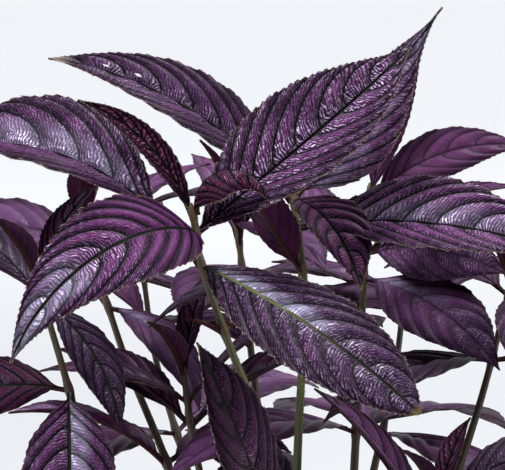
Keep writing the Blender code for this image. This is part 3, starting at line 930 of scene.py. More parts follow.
    def silver(self, s: Array, t: Array) -> Array:
        """Gives how strong the silvery band is, whose strokes are partly painted highlights.

        Args:
            s: The places across.
            t: The places along.

        Returns:
            The strengths, 0 to 1.
        """
        tone = self.leaf.tone
        side = np.where(s > 0, tone.silver_left, tone.silver_right)
        out, into = self.silver_fade
        ends = smooth(tone.silver_from - out, tone.silver_from + into, t)
        return side * ends * (1 - smooth(tone.silver_to - into, tone.silver_to + out, t))

    def sheen_film(self, sizes: Maps, s: Array) -> Array:
        """Gives how strong the smooth silver sheen film is that lies along the midrib, partly painted
        sheen.

        Args:
            sizes: What measure gives.
            s: The places across.

        Returns:
            The strengths, 0 to 1.
        """
        tone = self.leaf.tone
        side = np.where(s > 0, tone.sheen_film_left, tone.sheen_film_right)
        rise, fall = self.sheen_film_fade
        ends = smooth(tone.sheen_film_from, tone.sheen_film_from + rise, sizes["along"])
        ends = ends * (1 - smooth(tone.sheen_film_to - fall, tone.sheen_film_to + fall, sizes["along"]))
        return side * ends * smooth(tone.sheen_film_reach, self.sheen_film_core * tone.sheen_film_reach, sizes["run"])

    def kept_cells(self, flat: Array) -> Array:
        """Tells which cells of the underside's grid stay: all but those in a bite.

        Args:
            flat: The places of the underside's points as if the leaf lay flat.

        Returns:
            True for each cell that stays.
        """
        middle = 0.25 * (flat[:-1, :-1] + flat[1:, :-1] + flat[:-1, 1:] + flat[1:, 1:])
        kept = np.ones(middle.shape[:2], bool)
        for along, across, long, wide in self.leaf.bites:
            away = ((middle[..., 0] - along) / long) ** 2 + ((middle[..., 1] - across) / wide) ** 2
            kept &= away > 1
        return kept

    def maps(self, sizes: Maps, s: Array) -> Maps:
        """Gives what the leaf finish reads from each point of the upper face, then of the underside.

        Args:
            sizes: What measure gives.
            s: The places across.

        Returns:
            Three numbers for each point under each map's name.
        """
        ratio = self.ratio
        tone = self.leaf.tone
        one = np.ones_like(s)
        x, y = sizes["flat"][..., 0] * MM, sizes["flat"][..., 1] * MM
        silver = self.silver(s, sizes["along"]) * sizes["strength"]
        layers = {
            "vein_map": (sizes["vein"], sizes["phase"], sizes["gap"] * MM),
            "place_map": (sizes["run"] * MM, sizes["rim"] * MM, sizes["along"]),
            "tone_map": (silver, one * tone.age, one * tone.pale_rib),
            "flat_map": (x + self.pattern_shift * self.seed, y, one * self.seed),
            "face_map": (0 * one, one * tone.light, one * tone.dry),
            "stroke_map": (sizes["phase"], sizes["run"] * MM, self.sheen_film(sizes, s)),
            "haze_map": (one * tone.haze, 0 * one, 0 * one),
        }
        made = {}
        for key, parts in layers.items():
            whole = np.stack(parts, -1)
            below = whole[::ratio, ::ratio].copy()
            if key == "face_map":
                below[..., 0] = 1
            made[key] = np.concatenate([whole.reshape(-1, 3), below.reshape(-1, 3)])
        return made

    def walls(self, kept: Array, top: Array, low: Array) -> tuple[Array, Array]:
        """Walks the edges between a cell that stays and one that doesn't, or the outside.

        Args:
            kept: True for each cell that stays.
            top: The upper face's point indices.
            low: The underside's point indices.

        Returns:
            The polygons that close the blade there, upper points first, and their ways out on the bake map.
        """
        ratio = self.ratio
        padded = np.pad(kept, 1)
        rows, columns = np.nonzero(kept)
        span = np.arange(ratio + 1)
        polygons, ways = [], []
        sides = (
            (-1, 0, (0, -1), lambda i, j: (top[i * ratio, j * ratio + span], (low[i, j + 1], low[i, j]))),
            (1, 0, (0, 1), lambda i, j: (
                top[(i + 1) * ratio, j * ratio + span[::-1]], (low[i + 1, j], low[i + 1, j + 1]))),
            (0, -1, (-1, 0), lambda i, j: (
                top[i * ratio + span[::-1], j * ratio], (low[i, j], low[i + 1, j]))),
            (0, 1, (1, 0), lambda i, j: (
                top[i * ratio + span, (j + 1) * ratio], (low[i + 1, j + 1], low[i, j + 1]))),
        )
        for step_i, step_j, way, points in sides:
            open_here = ~padded[rows + 1 + step_i, columns + 1 + step_j]
            for i, j in zip(rows[open_here], columns[open_here]):
                upper, lower = points(i, j)
                polygons.append([*upper, *lower])
                ways.append(way)
        return np.array(polygons), np.array(ways, float)

    def build(self, berth: Berth, root: Array) -> Array:
        """Adds the blade to a mesh.

        Args:
            berth: Where the blade goes. It takes two cells.
            root: Where the leaf starts.

        Returns:
            The upper face's points, rows by columns.
        """
        ratio = self.ratio
        v, s = self.grid()
        sizes = self.measure(v, s)
        plain = self.leaf.surface(root, v, s, self.teeth(v, s), 0 * s)
        steps = outward_steps(plain, self.least_turn)
        relief = self.relief(sizes)
        top = plain + steps * relief[..., None]
        below = self.underside(sizes, lowest_near(relief, ratio // 2))
        low = (plain + steps * below[..., None])[::ratio, ::ratio]
        kept = self.kept_cells(sizes["flat"][::ratio, ::ratio])
        spread = np.stack([0.5 + 0.5 * s, v], -1)
        spots = []
        for part, side in ((spread, 0), (spread[::ratio, ::ratio], 1)):
            corner, size = berth.cell(side)
            spots.append((corner + size * part).reshape(-1, 2))
        spots = np.concatenate(spots)
        points = np.concatenate([top.reshape(-1, 3), low.reshape(-1, 3)])
        top_index = np.arange(top.shape[0] * top.shape[1]).reshape(top.shape[:2])
        low_index = top_index.size + np.arange(low.shape[0] * low.shape[1]).reshape(low.shape[:2])
        fine = np.repeat(np.repeat(kept, ratio, axis=0), ratio, axis=1)
        quads = np.concatenate([grid_quads(top_index, fine), grid_quads(low_index, kept)[:, ::-1]])
        walls, ways = self.walls(kept, top_index, low_index)
        wall_places = spots[walls]
        wall_places[:, -2] = wall_places[:, -3] + ways * berth.sheet.gap() / 2
        wall_places[:, -1] = wall_places[:, 0] + ways * berth.sheet.gap() / 2
        used = np.unique(np.concatenate([quads.ravel(), walls.ravel()]))
        order = np.full(len(points), -1)
        order[used] = np.arange(len(used))
        maps = {key: part[used] for key, part in self.maps(sizes, s).items()}
        first = berth.draft.add_points(points[used], maps)
        berth.draft.add_faces(first + order[quads], berth.slot, spots[quads])
        berth.draft.add_faces(first + order[walls], berth.slot, wall_places)
        return top


def lowest_near(heights: Array, reach: int) -> Array:
    """Gives each point of a grid the lowest height near it.

    Args:
        heights: The heights, rows by columns.
        reach: How many rows and columns away still count.

    Returns:
        The lowest heights.
    """
    padded = np.pad(heights, reach, mode="edge")
    rows, columns = heights.shape
    shifts = range(2 * reach + 1)
    return np.minimum.reduce([padded[i:i + rows, j:j + columns] for i in shifts for j in shifts])


def grid_quads(index: Array, kept: Array) -> Array:
    """Gives the quads of a grid's kept cells. Its columns run left and its rows ahead, seen from above."""
    quads = np.stack([index[:-1, :-1], index[1:, :-1], index[1:, 1:], index[:-1, 1:]], -1)
    return quads[kept]


def cell_corners(grid: Array) -> tuple[Array, ...]:
    """Gives the four corners of each of a grid's cells, counted round it."""
    return grid[:-1, :-1], grid[:-1, 1:], grid[1:, 1:], grid[1:, :-1]


@dataclass(frozen=True)
class Stem:
    """A stem: a squarish tube, thinner upward, swollen at each pair of leaves, with a bud at its top.

    The cap numbers place its two ends on the bake map.
    """

    curve: Array
    joints: tuple[float, ...]
    woody: float = 0.0
    sides: int = 16
    step: float = 0.0022
    squareness: float = 0.09
    swell: float = 0.38
    swell_half: float = 0.0042
    shoulder: float = 0.002
    least_end: float = 0.16
    tube_share: float = 0.9
    cap_middle: tuple[float, float] = (0.25, 0.95)
    cap_half: tuple[float, float] = (0.2, 0.04)
    cap_step: float = 0.5

    def build(self, berth: Berth) -> Array:
        """Adds the stem to a mesh.

        Args:
            berth: Where the stem goes.

        Returns:
            Its rings of points, from the foot up.
        """
        foot, top = self.curve[0, 2], self.curve[-1, 2]
        tip = top - HABIT.stem_point
        even = np.linspace(foot, tip, int((tip - foot) / self.step))
        turns = math.tau * np.arange(self.sides) / self.sides
        rings, marks = [], []
        for z in (*even, tip + self.shoulder, top):
            across, beyond = stem_axes(self.curve, z)
            radius = stem_radius(self.curve, z)
            near = min([abs(z - joint) for joint in self.joints] + [1.0])
            radius *= 1 + self.swell * math.exp(-(near / self.swell_half) ** 2)
            radius *= math.sqrt(max(self.least_end, 1 - max(0.0, (z - tip) / HABIT.stem_point) ** 2))
            shape = radius * (1 + self.squareness * np.cos(4 * turns))
            ring = on_curve(self.curve, z) + shape[:, None] * (
                np.cos(turns)[:, None] * across + np.sin(turns)[:, None] * beyond)
            rings.append(ring)
            marks.append(np.stack([0 * turns + z * MM, turns, 0 * turns + near * MM], -1))
        points = np.concatenate(rings)
        bark = np.tile(np.array([self.woody, 0.0, 0.0]), (len(points), 1))
        first = berth.draft.add_points(points, {"stem_map": np.concatenate(marks), "bark_map": bark})
        index = np.arange(len(points)).reshape(len(rings), self.sides)
        closed = np.concatenate([index, index[:, :1]], axis=1)
        quads = np.stack(cell_corners(closed), -1).reshape(-1, 4)
        u = np.tile(np.arange(self.sides + 1) / self.sides, (len(rings), 1))
        v = np.tile(np.linspace(0, self.tube_share, len(rings))[:, None], (1, self.sides + 1))
        spots = np.stack(cell_corners(np.stack([u, v], -1)), -2).reshape(-1, 4, 2)
        corner, size = berth.cell()
        berth.draft.add_faces(first + quads, berth.slot, corner + size * spots)
        round_spots = np.array(self.cap_middle) + np.array(self.cap_half) * np.stack(
            [np.cos(turns), np.sin(turns)], -1)
        caps = np.stack([index[0][::-1], index[-1]])
        cap_spots = np.stack([round_spots[::-1], round_spots + np.array([self.cap_step, 0])])
        berth.draft.add_faces(first + caps, berth.slot, corner + size * cap_spots)
        return np.stack(rings)


def unit(vectors: Array) -> Array:
    """Gives vectors the length 1."""
    return vectors / np.maximum(np.linalg.norm(vectors, axis=-1, keepdims=True), 1e-12)


@dataclass(frozen=True)
class Hairs:
    """Short stiff hairs round a leaf's edge and on a green stem. Lengths are in metres."""

    seed: float
    length: float = 0.0017
    shortest: float = 0.4
    longest: float = 1.2
    thick: float = 0.0002
    sunk: float = 0.0002
    spacing: float = 0.0010
    lean: float = 0.5
    wander: float = 0.4
    inward: int = 4
    on_a_stem: int = 420
    stem_from: float = 0.36

    def on_edges(self, berth: Berth, top: Array) -> None:
        """Sets hairs along both edges of a blade.

        Args:
            berth: Where the hairs go.
            top: The blade's upper face, rows by columns.
        """
        draw = np.random.default_rng(int(self.seed * MM))
        roots, ways = [], []
        for edge, inner in ((0, self.inward), (-1, -1 - self.inward)):
            line = top[:, edge]
            way = unit(line - top[:, inner]) + self.lean * unit(np.gradient(line, axis=0))
            run = np.concatenate([[0], np.cumsum(np.linalg.norm(np.diff(line, axis=0), axis=1))])
            at = np.sort(draw.uniform(0, run[-1], int(run[-1] / self.spacing)))
            roots.append(np.stack([np.interp(at, run, line[:, k]) for k in range(3)], -1))
            ways.append(np.stack([np.interp(at, run, way[:, k]) for k in range(3)], -1))
        self.grow(berth, np.concatenate(roots), np.concatenate(ways), draw)

    def on_stem(self, berth: Berth, rings: Array) -> None:
        """Sets hairs on the upper part of a stem.

        Args:
            berth: Where the hairs go.
            rings: The stem's rings of points, from the foot up.
        """
        draw = np.random.default_rng(int(self.seed * MM))
        middles = rings.mean(axis=1)
        first = int(np.searchsorted(middles[:, 2], self.stem_from))
        ring = draw.integers(first, len(rings), self.on_a_stem)
        side = draw.integers(0, rings.shape[1], self.on_a_stem)
        roots = rings[ring, side]
        self.grow(berth, roots, unit(roots - middles[ring]), draw)

    def grow(self, berth: Berth, roots: Array, ways: Array, draw: np.random.Generator) -> None:
        """Adds three-sided hairs.

        Args:
            berth: Where the hairs go.
            roots: Where they stand.
            ways: Where they point, about.
            draw: Where the random draws come from.
        """
        count = len(roots)
        ways = unit(unit(ways) + self.wander * draw.normal(size=(count, 3)))
        side = unit(np.cross(ways, draw.normal(size=(count, 3))))[:, None]
        beyond = np.cross(ways[:, None], side)
        turns = (math.tau / 3 * np.arange(3))[:, None]
        outward = self.thick * (np.cos(turns) * side + np.sin(turns) * beyond)
        feet = (roots - self.sunk * ways)[:, None] + outward
        reach = self.length * draw.uniform(self.shortest, self.longest, (count, 1))
        tips = (roots + reach * ways)[:, None]
        points = np.concatenate([feet, tips], axis=1).reshape(-1, 3)
        rise = np.tile([0.0, 0.0, 0.0, 1.0], count)
        first = berth.draft.add_points(points, {"hair_map": np.stack([rise, 0 * rise, 0 * rise], -1)})
        corners = np.array([[0, 1, 3], [1, 2, 3], [2, 0, 3], [2, 1, 0]])
        faces = (4 * np.arange(count)[:, None, None] + corners).reshape(-1, 3)
        # On the bake map a hair's four triangles stand side by side in a cell of its own.
        lines = math.ceil(math.sqrt(count))
        left = (np.arange(4)[:, None] + np.array([0.1, 0.9, 0.5])) / 4
        local = np.stack([left, np.tile([0.1, 0.1, 0.9], (4, 1))], -1)
        place = np.stack([np.arange(count) % lines, np.arange(count) // lines], -1)[:, None, None]
        corner, size = berth.cell()
        spots = (corner + size * (place + local) / lines).reshape(-1, 3, 2)
        berth.draft.add_faces(first + faces, berth.slot, spots)


class Sum(Enum):
    """The sums that a finish's nodes do."""

    ADD = "ADD"
    SUBTRACT = "SUBTRACT"
    MULTIPLY = "MULTIPLY"
    DIVIDE = "DIVIDE"
    SINE = "SINE"
    ABSOLUTE = "ABSOLUTE"
    ROUND = "ROUND"
    MOST = "MAXIMUM"


Socket = bpy.types.NodeSocket
Value = Socket | float
Feeds = dict[int | str, Value | tuple]


@dataclass
class Wiring:
    """Lays the nodes of one finish, or of the sky, and joins them."""

    owner: Material | bpy.types.World
    shader_name: str = "Principled BSDF"
    tree: bpy.types.NodeTree = field(init=False)
    shader: bpy.types.Node = field(init=False)

    def __post_init__(self) -> None:
        """Finds the shader that the owner starts with."""
        self.owner.use_nodes = True
        self.tree = self.owner.node_tree
        self.shader = self.tree.nodes[self.shader_name]

    def join(self, value: Value | tuple, socket: Socket) -> None:
        """Feeds a socket from another one, a number, a vector or a colour.

        Args:
            value: What feeds it.
            socket: The socket.
        """
        if isinstance(value, Socket):
            self.tree.links.new(value, socket)
        elif isinstance(value, tuple) and socket.type == "RGBA":
            socket.default_value = (*value, 1.0)
        else:
            socket.default_value = value

    def node(self, kind: str, feeds: Feeds, **settings: str | bool) -> bpy.types.Node:
        """Adds a node.

        Args:
            kind: Which one, by the last part of its type.
            feeds: What feeds its inputs, by their names or numbers.
            settings: Its own settings.

        Returns:
            The node.
        """
        node = self.tree.nodes.new(f"ShaderNode{kind}")
        for key, setting in settings.items():
            setattr(node, key, setting)
        for key, value in feeds.items():
            self.join(value, node.inputs[key])
        return node

    def sum(self, kind: Sum, first: Value, second: Value = 0.0, clamp: bool = False) -> Socket:
        """Does a sum with one or two numbers, and keeps it from 0 to 1 if asked."""
        return self.node("Math", {0: first, 1: second}, operation=kind.value, use_clamp=clamp).outputs[0]

    def add(self, first: Value, second: Value) -> Socket:
        """Adds two numbers."""
        return self.sum(Sum.ADD, first, second)

    def times(self, *values: Value) -> Socket:
        """Multiplies numbers."""
        result = values[0]
        for value in values[1:]:
            result = self.sum(Sum.MULTIPLY, result, value)
        return result

    def ease(
        self, value: Value, low: float, high: float, to_low: float = 0.0, to_high: float = 1.0,
    ) -> Socket:
        """Eases a number from one value to another.

        Args:
            value: The number.
            low: Where the easing starts.
            high: Where it ends, which may be the smaller one.
            to_low: The result up to low.
            to_high: The result from high on.

        Returns:
            The eased number.
        """
        if low > high:
            low, high, to_low, to_high = high, low, to_high, to_low
        feeds = {"Value": value, "From Min": low, "From Max": high, "To Min": to_low, "To Max": to_high}
        return self.node("MapRange", feeds, interpolation_type="SMOOTHSTEP").outputs["Result"]

    def blend(self, share: Value, first: Socket | Colour, second: Socket | Colour) -> Socket:
        """Mixes a share of the second colour into the first."""
        return self.node("Mix", {0: share, 6: first, 7: second}, data_type="RGBA").outputs[2]

    def vector(self, name: str) -> Socket:
        """Reads a map as a vector."""
        return self.node("Attribute", {}, attribute_name=name).outputs["Vector"]

    def place(self) -> Socket:
        """Gives the place on the object."""
        return self.node("TexCoord", {}).outputs["Object"]

    def split(self, vector: Socket) -> tuple[Socket, ...]:
        """Gives a vector's three parts."""
        return tuple(self.node("SeparateXYZ", {0: vector}).outputs)

    def read(self, name: str) -> tuple[Socket, ...]:
        """Reads the three numbers of a map."""
        return self.split(self.vector(name))

    def stretched(self, vector: Socket, x: float, y: float, z: float) -> Socket:
        """Multiplies a vector part by part."""
        return self.node("VectorMath", {0: vector, 1: (x, y, z)}, operation="MULTIPLY").outputs[0]

    def noise(self, vector: Socket, scale: float, detail: float = 2.0, roughness: float = 0.5) -> Socket:
        """Gives a cloudy pattern around 0.5, with finer layers on it."""
        feeds = {"Vector": vector, "Scale": scale, "Detail": detail, "Roughness": roughness}
        return self.node("TexNoise", feeds).outputs[0]

    def cells(self, vector: Socket, scale: float) -> Socket:
        """Gives the distance to the nearest of scattered points."""
        return self.node("TexVoronoi", {"Vector": vector, "Scale": scale}).outputs["Distance"]

    def bump(self, height: Socket, distance: float, strength: float = 0.8) -> None:
        """Roughens the surface.

        Args:
            height: The height pattern, 0 to 1.
            distance: What 1 means, in metres.
            strength: How strong it is.
        """
        node = self.node("Bump", {"Distance": distance, "Strength": strength, "Height": height})
        before = self.shader.inputs["Normal"].links
        if before:
            self.join(before[0].from_socket, node.inputs["Normal"])
        self.join(node.outputs[0], self.shader.inputs["Normal"])

    def give(self, name: str, value: Value | tuple) -> None:
        """Sets or feeds one of the shader's sockets."""
        self.join(value, self.shader.inputs[name])

    def done(self, colour: Socket | Colour, roughness: Value, specular: float) -> Material:
        """Gives the finish its colour and gloss.

        Args:
            colour: Its colour.
            roughness: Its roughness.
            specular: Its specular level.

        Returns:
            The material.
        """
        self.give("Base Color", colour)
        self.give("Roughness", roughness)
        self.give("Specular IOR Level", specular)
        return self.owner


def finish_wiring(name: str) -> Wiring:
    """Starts a finish by making its material."""
    return Wiring(bpy.data.materials.new(name))


@dataclass(frozen=True)
class LeafFinish:
    """A leaf: purple tissue with silver strokes between near-black veins, a green midrib and a tan edge.

    The spans say where a mark fades out and where it is full, in millimetres for veins, midrib and rim. The
    colour holds painted shade in the valleys, on the vein flanks, on one side of each band and toward the
    edge, and the silver strokes and sheen film are partly painted highlights and painted sheen.
    """

    deep: Colour = linear(44, 15, 52)
    vivid: Colour = linear(110, 44, 110)
    haze: Colour = linear(116, 84, 122)
    bud: Colour = linear(112, 52, 40)
    young: Colour = linear(78, 14, 46)
    painted_shade_and_grain: Colour = linear(24, 4, 24)
    silver: Colour = linear(224, 204, 238)
    rose: Colour = linear(184, 126, 162)
    sheen_film: Colour = linear(184, 180, 210)
    glint: Colour = linear(226, 186, 238)
    vein: Colour = linear(9, 9, 10)
    sheen_film_vein: Colour = linear(62, 70, 70)
    midrib: Colour = linear(30, 38, 26)
    pale_midrib: Colour = linear(118, 128, 76)
    edge: Colour = linear(108, 88, 72)
    tip: Colour = linear(112, 98, 50)
    under: Colour = linear(74, 22, 58)
    under_vein: Colour = linear(62, 40, 36)
    dry: Colour = linear(158, 148, 136)
    flank_span: Span = (2.8, 0.6)
    vein_span: Span = (0.9, 0.25)
    rib_span: Span = (1.5, 0.9)
    rim_span: Span = (2.0, 1.0)
    under_vein_span: Span = (0.9, 0.2)
    under_rib_span: Span = (1.8, 1.0)
    tip_span: Span = (0.965, 0.995)
    dry_span: Span = (0.90, 0.99)
    stroke_metal: float = 0.6
    sheen_film_metal: float = 0.3
    roughness: Span = (0.30, 0.44)
    specular: float = 0.07
    grain_depth: float = 0.00025

    def make(self) -> Material:
        """Builds the material."""
        w = finish_wiring("leaf")
        vein, phase, gap = w.read("vein_map")
        run, rim, along = w.read("place_map")
        silver, age, pale = w.read("tone_map")
        under, light, dry = w.read("face_map")
        _, _, sheen_film = w.read("stroke_map")
        haze, _, _ = w.read("haze_map")
        flat = w.vector("flat_map")

        # Patterns
        dash = w.noise(w.stretched(w.vector("stroke_map"), 0.9, 0.38, 0.0), 1.0)
        cloud = w.noise(flat, 0.07, 3.0)
        speck = w.noise(flat, 0.9, 2.0, 0.6)
        grain = w.noise(flat, 1.7, 1.0)
        side = w.sum(Sum.SUBTRACT, vein, w.sum(Sum.ROUND, vein))
        to_vein = w.times(w.sum(Sum.SUBTRACT, 0.5, w.sum(Sum.ABSOLUTE, side)), gap)
        rung = w.sum(Sum.ABSOLUTE, w.sum(Sum.SINE, w.times(phase, math.tau)))
        inward = w.sum(Sum.DIVIDE, rim, w.add(w.add(run, rim), 0.1))
        clear = w.ease(haze, 0.1, 0.7, 1.0, 0.25)
        crisp = w.times(clear, w.ease(gap, 3.0, 8.0, 0.4, 1.0))

        # Silver strokes and sheen film: partly the leaf's own silver, partly painted highlights and painted
        # sheen
        stroke = w.ease(w.add(rung, w.times(speck, 1.1)), 1.25, 1.55)
        stroke = w.times(stroke, w.ease(dash, 0.36, 0.6, 0.15, 2.0))
        # Painted highlight: the strokes are brightest on one side of each band, next to a vein
        stroke = w.times(stroke, w.ease(side, 0.35, -0.3, 0.35, 1.0), w.ease(haze, 0.0, 1.0, 1.0, 0.3))
        shine = w.sum(Sum.MULTIPLY, silver, w.times(stroke, w.ease(cloud, 0.3, 0.65, 0.4, 1.0)), clamp=True)
        # Painted light: the sheen film is fuller on one side of each band, in random patches
        patchy_and_lit_side = w.times(w.ease(cloud, 0.35, 0.65, 0.5, 1.0), w.ease(side, 0.45, -0.2, 0.45, 1.0))
        sheen_film = w.times(sheen_film, patchy_and_lit_side, w.ease(w.add(rung, w.times(speck, 1.6)), 0.9, 1.8, 0.55, 1.0))

        # Tissue of the upper face, with painted shade in its valleys, on its vein flanks, on one side of
        # each band and toward its edge
        # The leaf's light moves it from deep toward vivid purple; it is partly the leaf's own tone and
        # partly painted light
        tissue = w.blend(w.ease(w.add(cloud, light), 0.6, 1.4), self.deep, self.vivid)
        tissue = w.blend(w.ease(age, 1.0, 0.3, 0.0, 0.85), tissue, self.young)
        # Painted shade in the valleys between rungs, on the vein flanks and on one side of each band; the
        # last mark is dark grain, the leaf's own texture
        for shade in (
            w.times(crisp, w.ease(rung, 0.8, 0.3), w.ease(run, 18.0, 4.0, 0.5, 0.9)),
            w.times(crisp, w.ease(to_vein, *self.flank_span, 0.0, 0.85)),
            w.times(crisp, w.ease(side, 0.08, 0.45, 0.0, 0.8)),
            w.times(crisp, w.ease(grain, 0.5, 0.3, 0.0, 0.5)),
        ):
            tissue = w.blend(shade, tissue, self.painted_shade_and_grain)
        # Fine silver specks, partly painted glints
        tissue = w.blend(w.times(crisp, w.ease(grain, 0.54, 0.74, 0.0, 0.2)), tissue, self.silver)
        # Haze: a duller, paler mauve, partly the leaf's own tone and partly painted light that lifts leaves
        # in shade or far back
        tissue = w.blend(w.times(haze, w.ease(cloud, 0.3, 0.7, 0.5, 1.0)), tissue, self.haze)
        # Silver strokes and sheen film, partly painted highlights and painted sheen
        tissue = w.blend(shine, tissue, w.blend(w.ease(age, 1.0, 0.5), self.silver, self.rose))
        tissue = w.blend(sheen_film, tissue, self.sheen_film)
        # Painted shade toward the edge
        tissue = w.blend(w.ease(w.add(inward, w.times(cloud, 0.2)), 0.5, 0.15, 0.0, 0.6), tissue, self.painted_shade_and_grain)

        # Veins, edge, midrib, tip, buds and dry point
        # Veins under the sheen film turn grey-green, partly painted sheen
        lines = w.blend(w.ease(sheen_film, 0.0, 0.4), self.vein, self.sheen_film_vein)
        tissue = w.blend(w.times(clear, w.ease(to_vein, *self.vein_span, 0.0, 0.95)), tissue, lines)
        worn = w.ease(w.add(rim, w.times(speck, 2.4)), *self.rim_span, 0.0, 0.7)
        tissue = w.blend(worn, tissue, self.edge)
        rib = w.blend(w.times(pale, w.ease(along, 0.75, 0.1)), self.midrib, self.pale_midrib)
        tissue = w.blend(w.times(clear, w.ease(run, *self.rib_span)), tissue, rib)
        tissue = w.blend(w.ease(along, *self.tip_span, 0.0, 0.9), tissue, self.tip)
        tissue = w.blend(w.ease(age, 0.06, 0.0), tissue, self.bud)
        tissue = w.blend(w.times(dry, w.ease(along, *self.dry_span)), tissue, self.dry)

        # Underside
        back = w.blend(w.ease(cloud, 0.3, 0.7), self.under, self.deep)
        back = w.blend(w.ease(to_vein, *self.under_vein_span, 0.0, 0.8), back, self.under_vein)
        back = w.blend(w.ease(run, *self.under_rib_span), back, self.under_vein)
        w.give("Metallic", w.add(w.times(shine, self.stroke_metal), w.times(sheen_film, self.sheen_film_metal)))
        w.give("Specular Tint", self.glint)
        w.bump(speck, self.grain_depth)
        colour = w.blend(under, tissue, back)
        return w.done(colour, w.ease(speck, 0.2, 0.8, *self.roughness), self.specular)


@dataclass(frozen=True)
class StemFinish:
    """A stem: olive green with long fibres, flushed brown and purple at its nodes, and woody at its foot.

    The spans are in millimetres: the distance to a node, and the height up to which a stem is woody.
    """

    green: Colour = linear(74, 86, 42)
    pale: Colour = linear(120, 120, 70)
    flush: Colour = linear(88, 50, 54)
    node: Colour = linear(96, 72, 50)
    wood: Colour = linear(68, 48, 44)
    node_span: Span = (9.0, 1.5)
    wood_span: Span = (250.0, 140.0)
    woody_rise: float = 230.0
    roughness: Span = (0.42, 0.6)
    specular: float = 0.4
    sheen: float = 0.1
    fibre_depth: float = 0.0002

    def make(self) -> Material:
        """Builds the material."""
        w = finish_wiring("stem")
        height, _, near = w.read("stem_map")
        bark, _, _ = w.read("bark_map")
        place = w.vector("stem_map")
        fibre = w.noise(w.stretched(place, 0.03, 3.0, 0.0), 1.6, 3.0)
        cloud = w.noise(w.stretched(place, 0.05, 0.8, 0.02), 1.0)
        colour = w.blend(w.ease(fibre, 0.3, 0.75), self.green, self.pale)
        colour = w.blend(w.ease(cloud, 0.4, 0.75, 0.0, 0.55), colour, self.flush)
        colour = w.blend(w.ease(near, *self.node_span, 0.0, 0.75), colour, self.node)
        old = w.ease(w.add(height, w.times(bark, -self.woody_rise)), *self.wood_span, 0.0, 0.85)
        w.give("Sheen Weight", self.sheen)
        w.bump(fibre, self.fibre_depth)
        colour = w.blend(old, colour, self.wood)
        return w.done(colour, w.ease(fibre, 0.2, 0.8, *self.roughness), self.specular)


@dataclass(frozen=True)
class HairFinish:
    """The hairs: purplish at their roots and pale tan at their tips."""

    root: Colour = linear(92, 60, 72)
    tip: Colour = linear(226, 214, 200)
    brown: Colour = linear(176, 146, 122)
    roughness: float = 0.6
    specular: float = 0.3

    def make(self) -> Material:
        """Builds the material."""
        w = finish_wiring("leaf_hair")
        rise, _, _ = w.read("hair_map")
        tips = w.blend(w.ease(w.noise(w.place(), 220.0), 0.4, 0.6), self.tip, self.brown)
        return w.done(w.blend(w.ease(rise, 0.0, 0.7), self.root, tips), self.roughness, self.specular)


@dataclass(frozen=True)
class PotFinish:
    """The pot: dull black plastic with fine grain, faint scuffs and dried soil near its rim and foot.

    The dried soil's spans are heights in metres.
    """

    black: Colour = linear(30, 29, 30)
    scuff: Colour = linear(74, 71, 68)
    dust: Colour = linear(88, 74, 60)
    foot_span: Span = (0.030, 0.0)
    rim_span: Span = (0.142, 0.150)
    roughness: Span = (0.42, 0.62)
    specular: float = 0.45
    grain_depth: float = 0.00012

    def make(self) -> Material:
        """Builds the material."""
        w = finish_wiring("pot_plastic")
        place = w.place()
        _, _, height = w.split(place)
        streak = w.noise(w.stretched(place, 40.0, 40.0, 260.0), 1.0, 4.0, 0.6)
        cloud = w.noise(place, 28.0, 3.0)
        colour = w.blend(w.ease(streak, 0.56, 0.8, 0.0, 0.45), self.black, self.scuff)
        ends = w.sum(Sum.MOST, w.ease(height, *self.foot_span), w.ease(height, *self.rim_span))
        dusty = w.times(ends, w.ease(cloud, 0.4, 0.7, 0.0, 0.6))
        w.bump(w.noise(place, 1400.0), self.grain_depth, 0.5)
        colour = w.blend(dusty, colour, self.dust)
        return w.done(colour, w.ease(cloud, 0.3, 0.7, *self.roughness), self.specular)


@dataclass(frozen=True)
class SoilFinish:
    """Potting mix: dark fibrous peat with browner bits and darker damp patches."""

    peat: Colour = linear(48, 36, 28)
    fibre: Colour = linear(96, 72, 50)
    damp: Colour = linear(26, 20, 16)
    roughness: float = 0.92
    specular: float = 0.25
    grit_depth: float = 0.0008
    fine_depth: float = 0.0006

    def make(self) -> Material:
        """Builds the material."""
        w = finish_wiring("soil")
        place = w.place()
        fine = w.noise(place, 900.0, 4.0, 0.65)
        colour = w.blend(w.ease(fine, 0.5, 0.75, 0.0, 0.8), self.peat, self.fibre)
        colour = w.blend(w.ease(w.noise(place, 60.0, 3.0), 0.4, 0.65, 0.0, 0.7), colour, self.damp)
        w.bump(w.cells(place, 520.0), self.grit_depth)
        w.bump(fine, self.fine_depth)
        return w.done(colour, self.roughness, self.specular)


@dataclass(frozen=True)
class CrumbFinish:
    """The loose bits on the soil: bark in several browns and white expanded mineral beads."""

    bark: Colour = linear(92, 62, 42)
    dark_bark: Colour = linear(44, 30, 22)
    bead: Colour = linear(214, 210, 202)
    beads: bool = False
    roughness: float = 0.9
    specular: float = 0.25
    depth: float = 0.0004

    def make(self) -> Material:
        """Builds the material."""
        w = finish_wiring("soil_beads" if self.beads else "soil_bark")
        place = w.place()
        fine = w.noise(place, 1200.0, 3.0, 0.6)
        if self.beads:
            colour = w.blend(w.ease(fine, 0.35, 0.7, 0.0, 0.3), self.bead, self.bark)
        else:
            colour = w.blend(w.ease(w.noise(place, 130.0), 0.35, 0.65), self.dark_bark, self.bark)
        w.bump(fine, self.depth)
        return w.done(colour, self.roughness, self.specular)


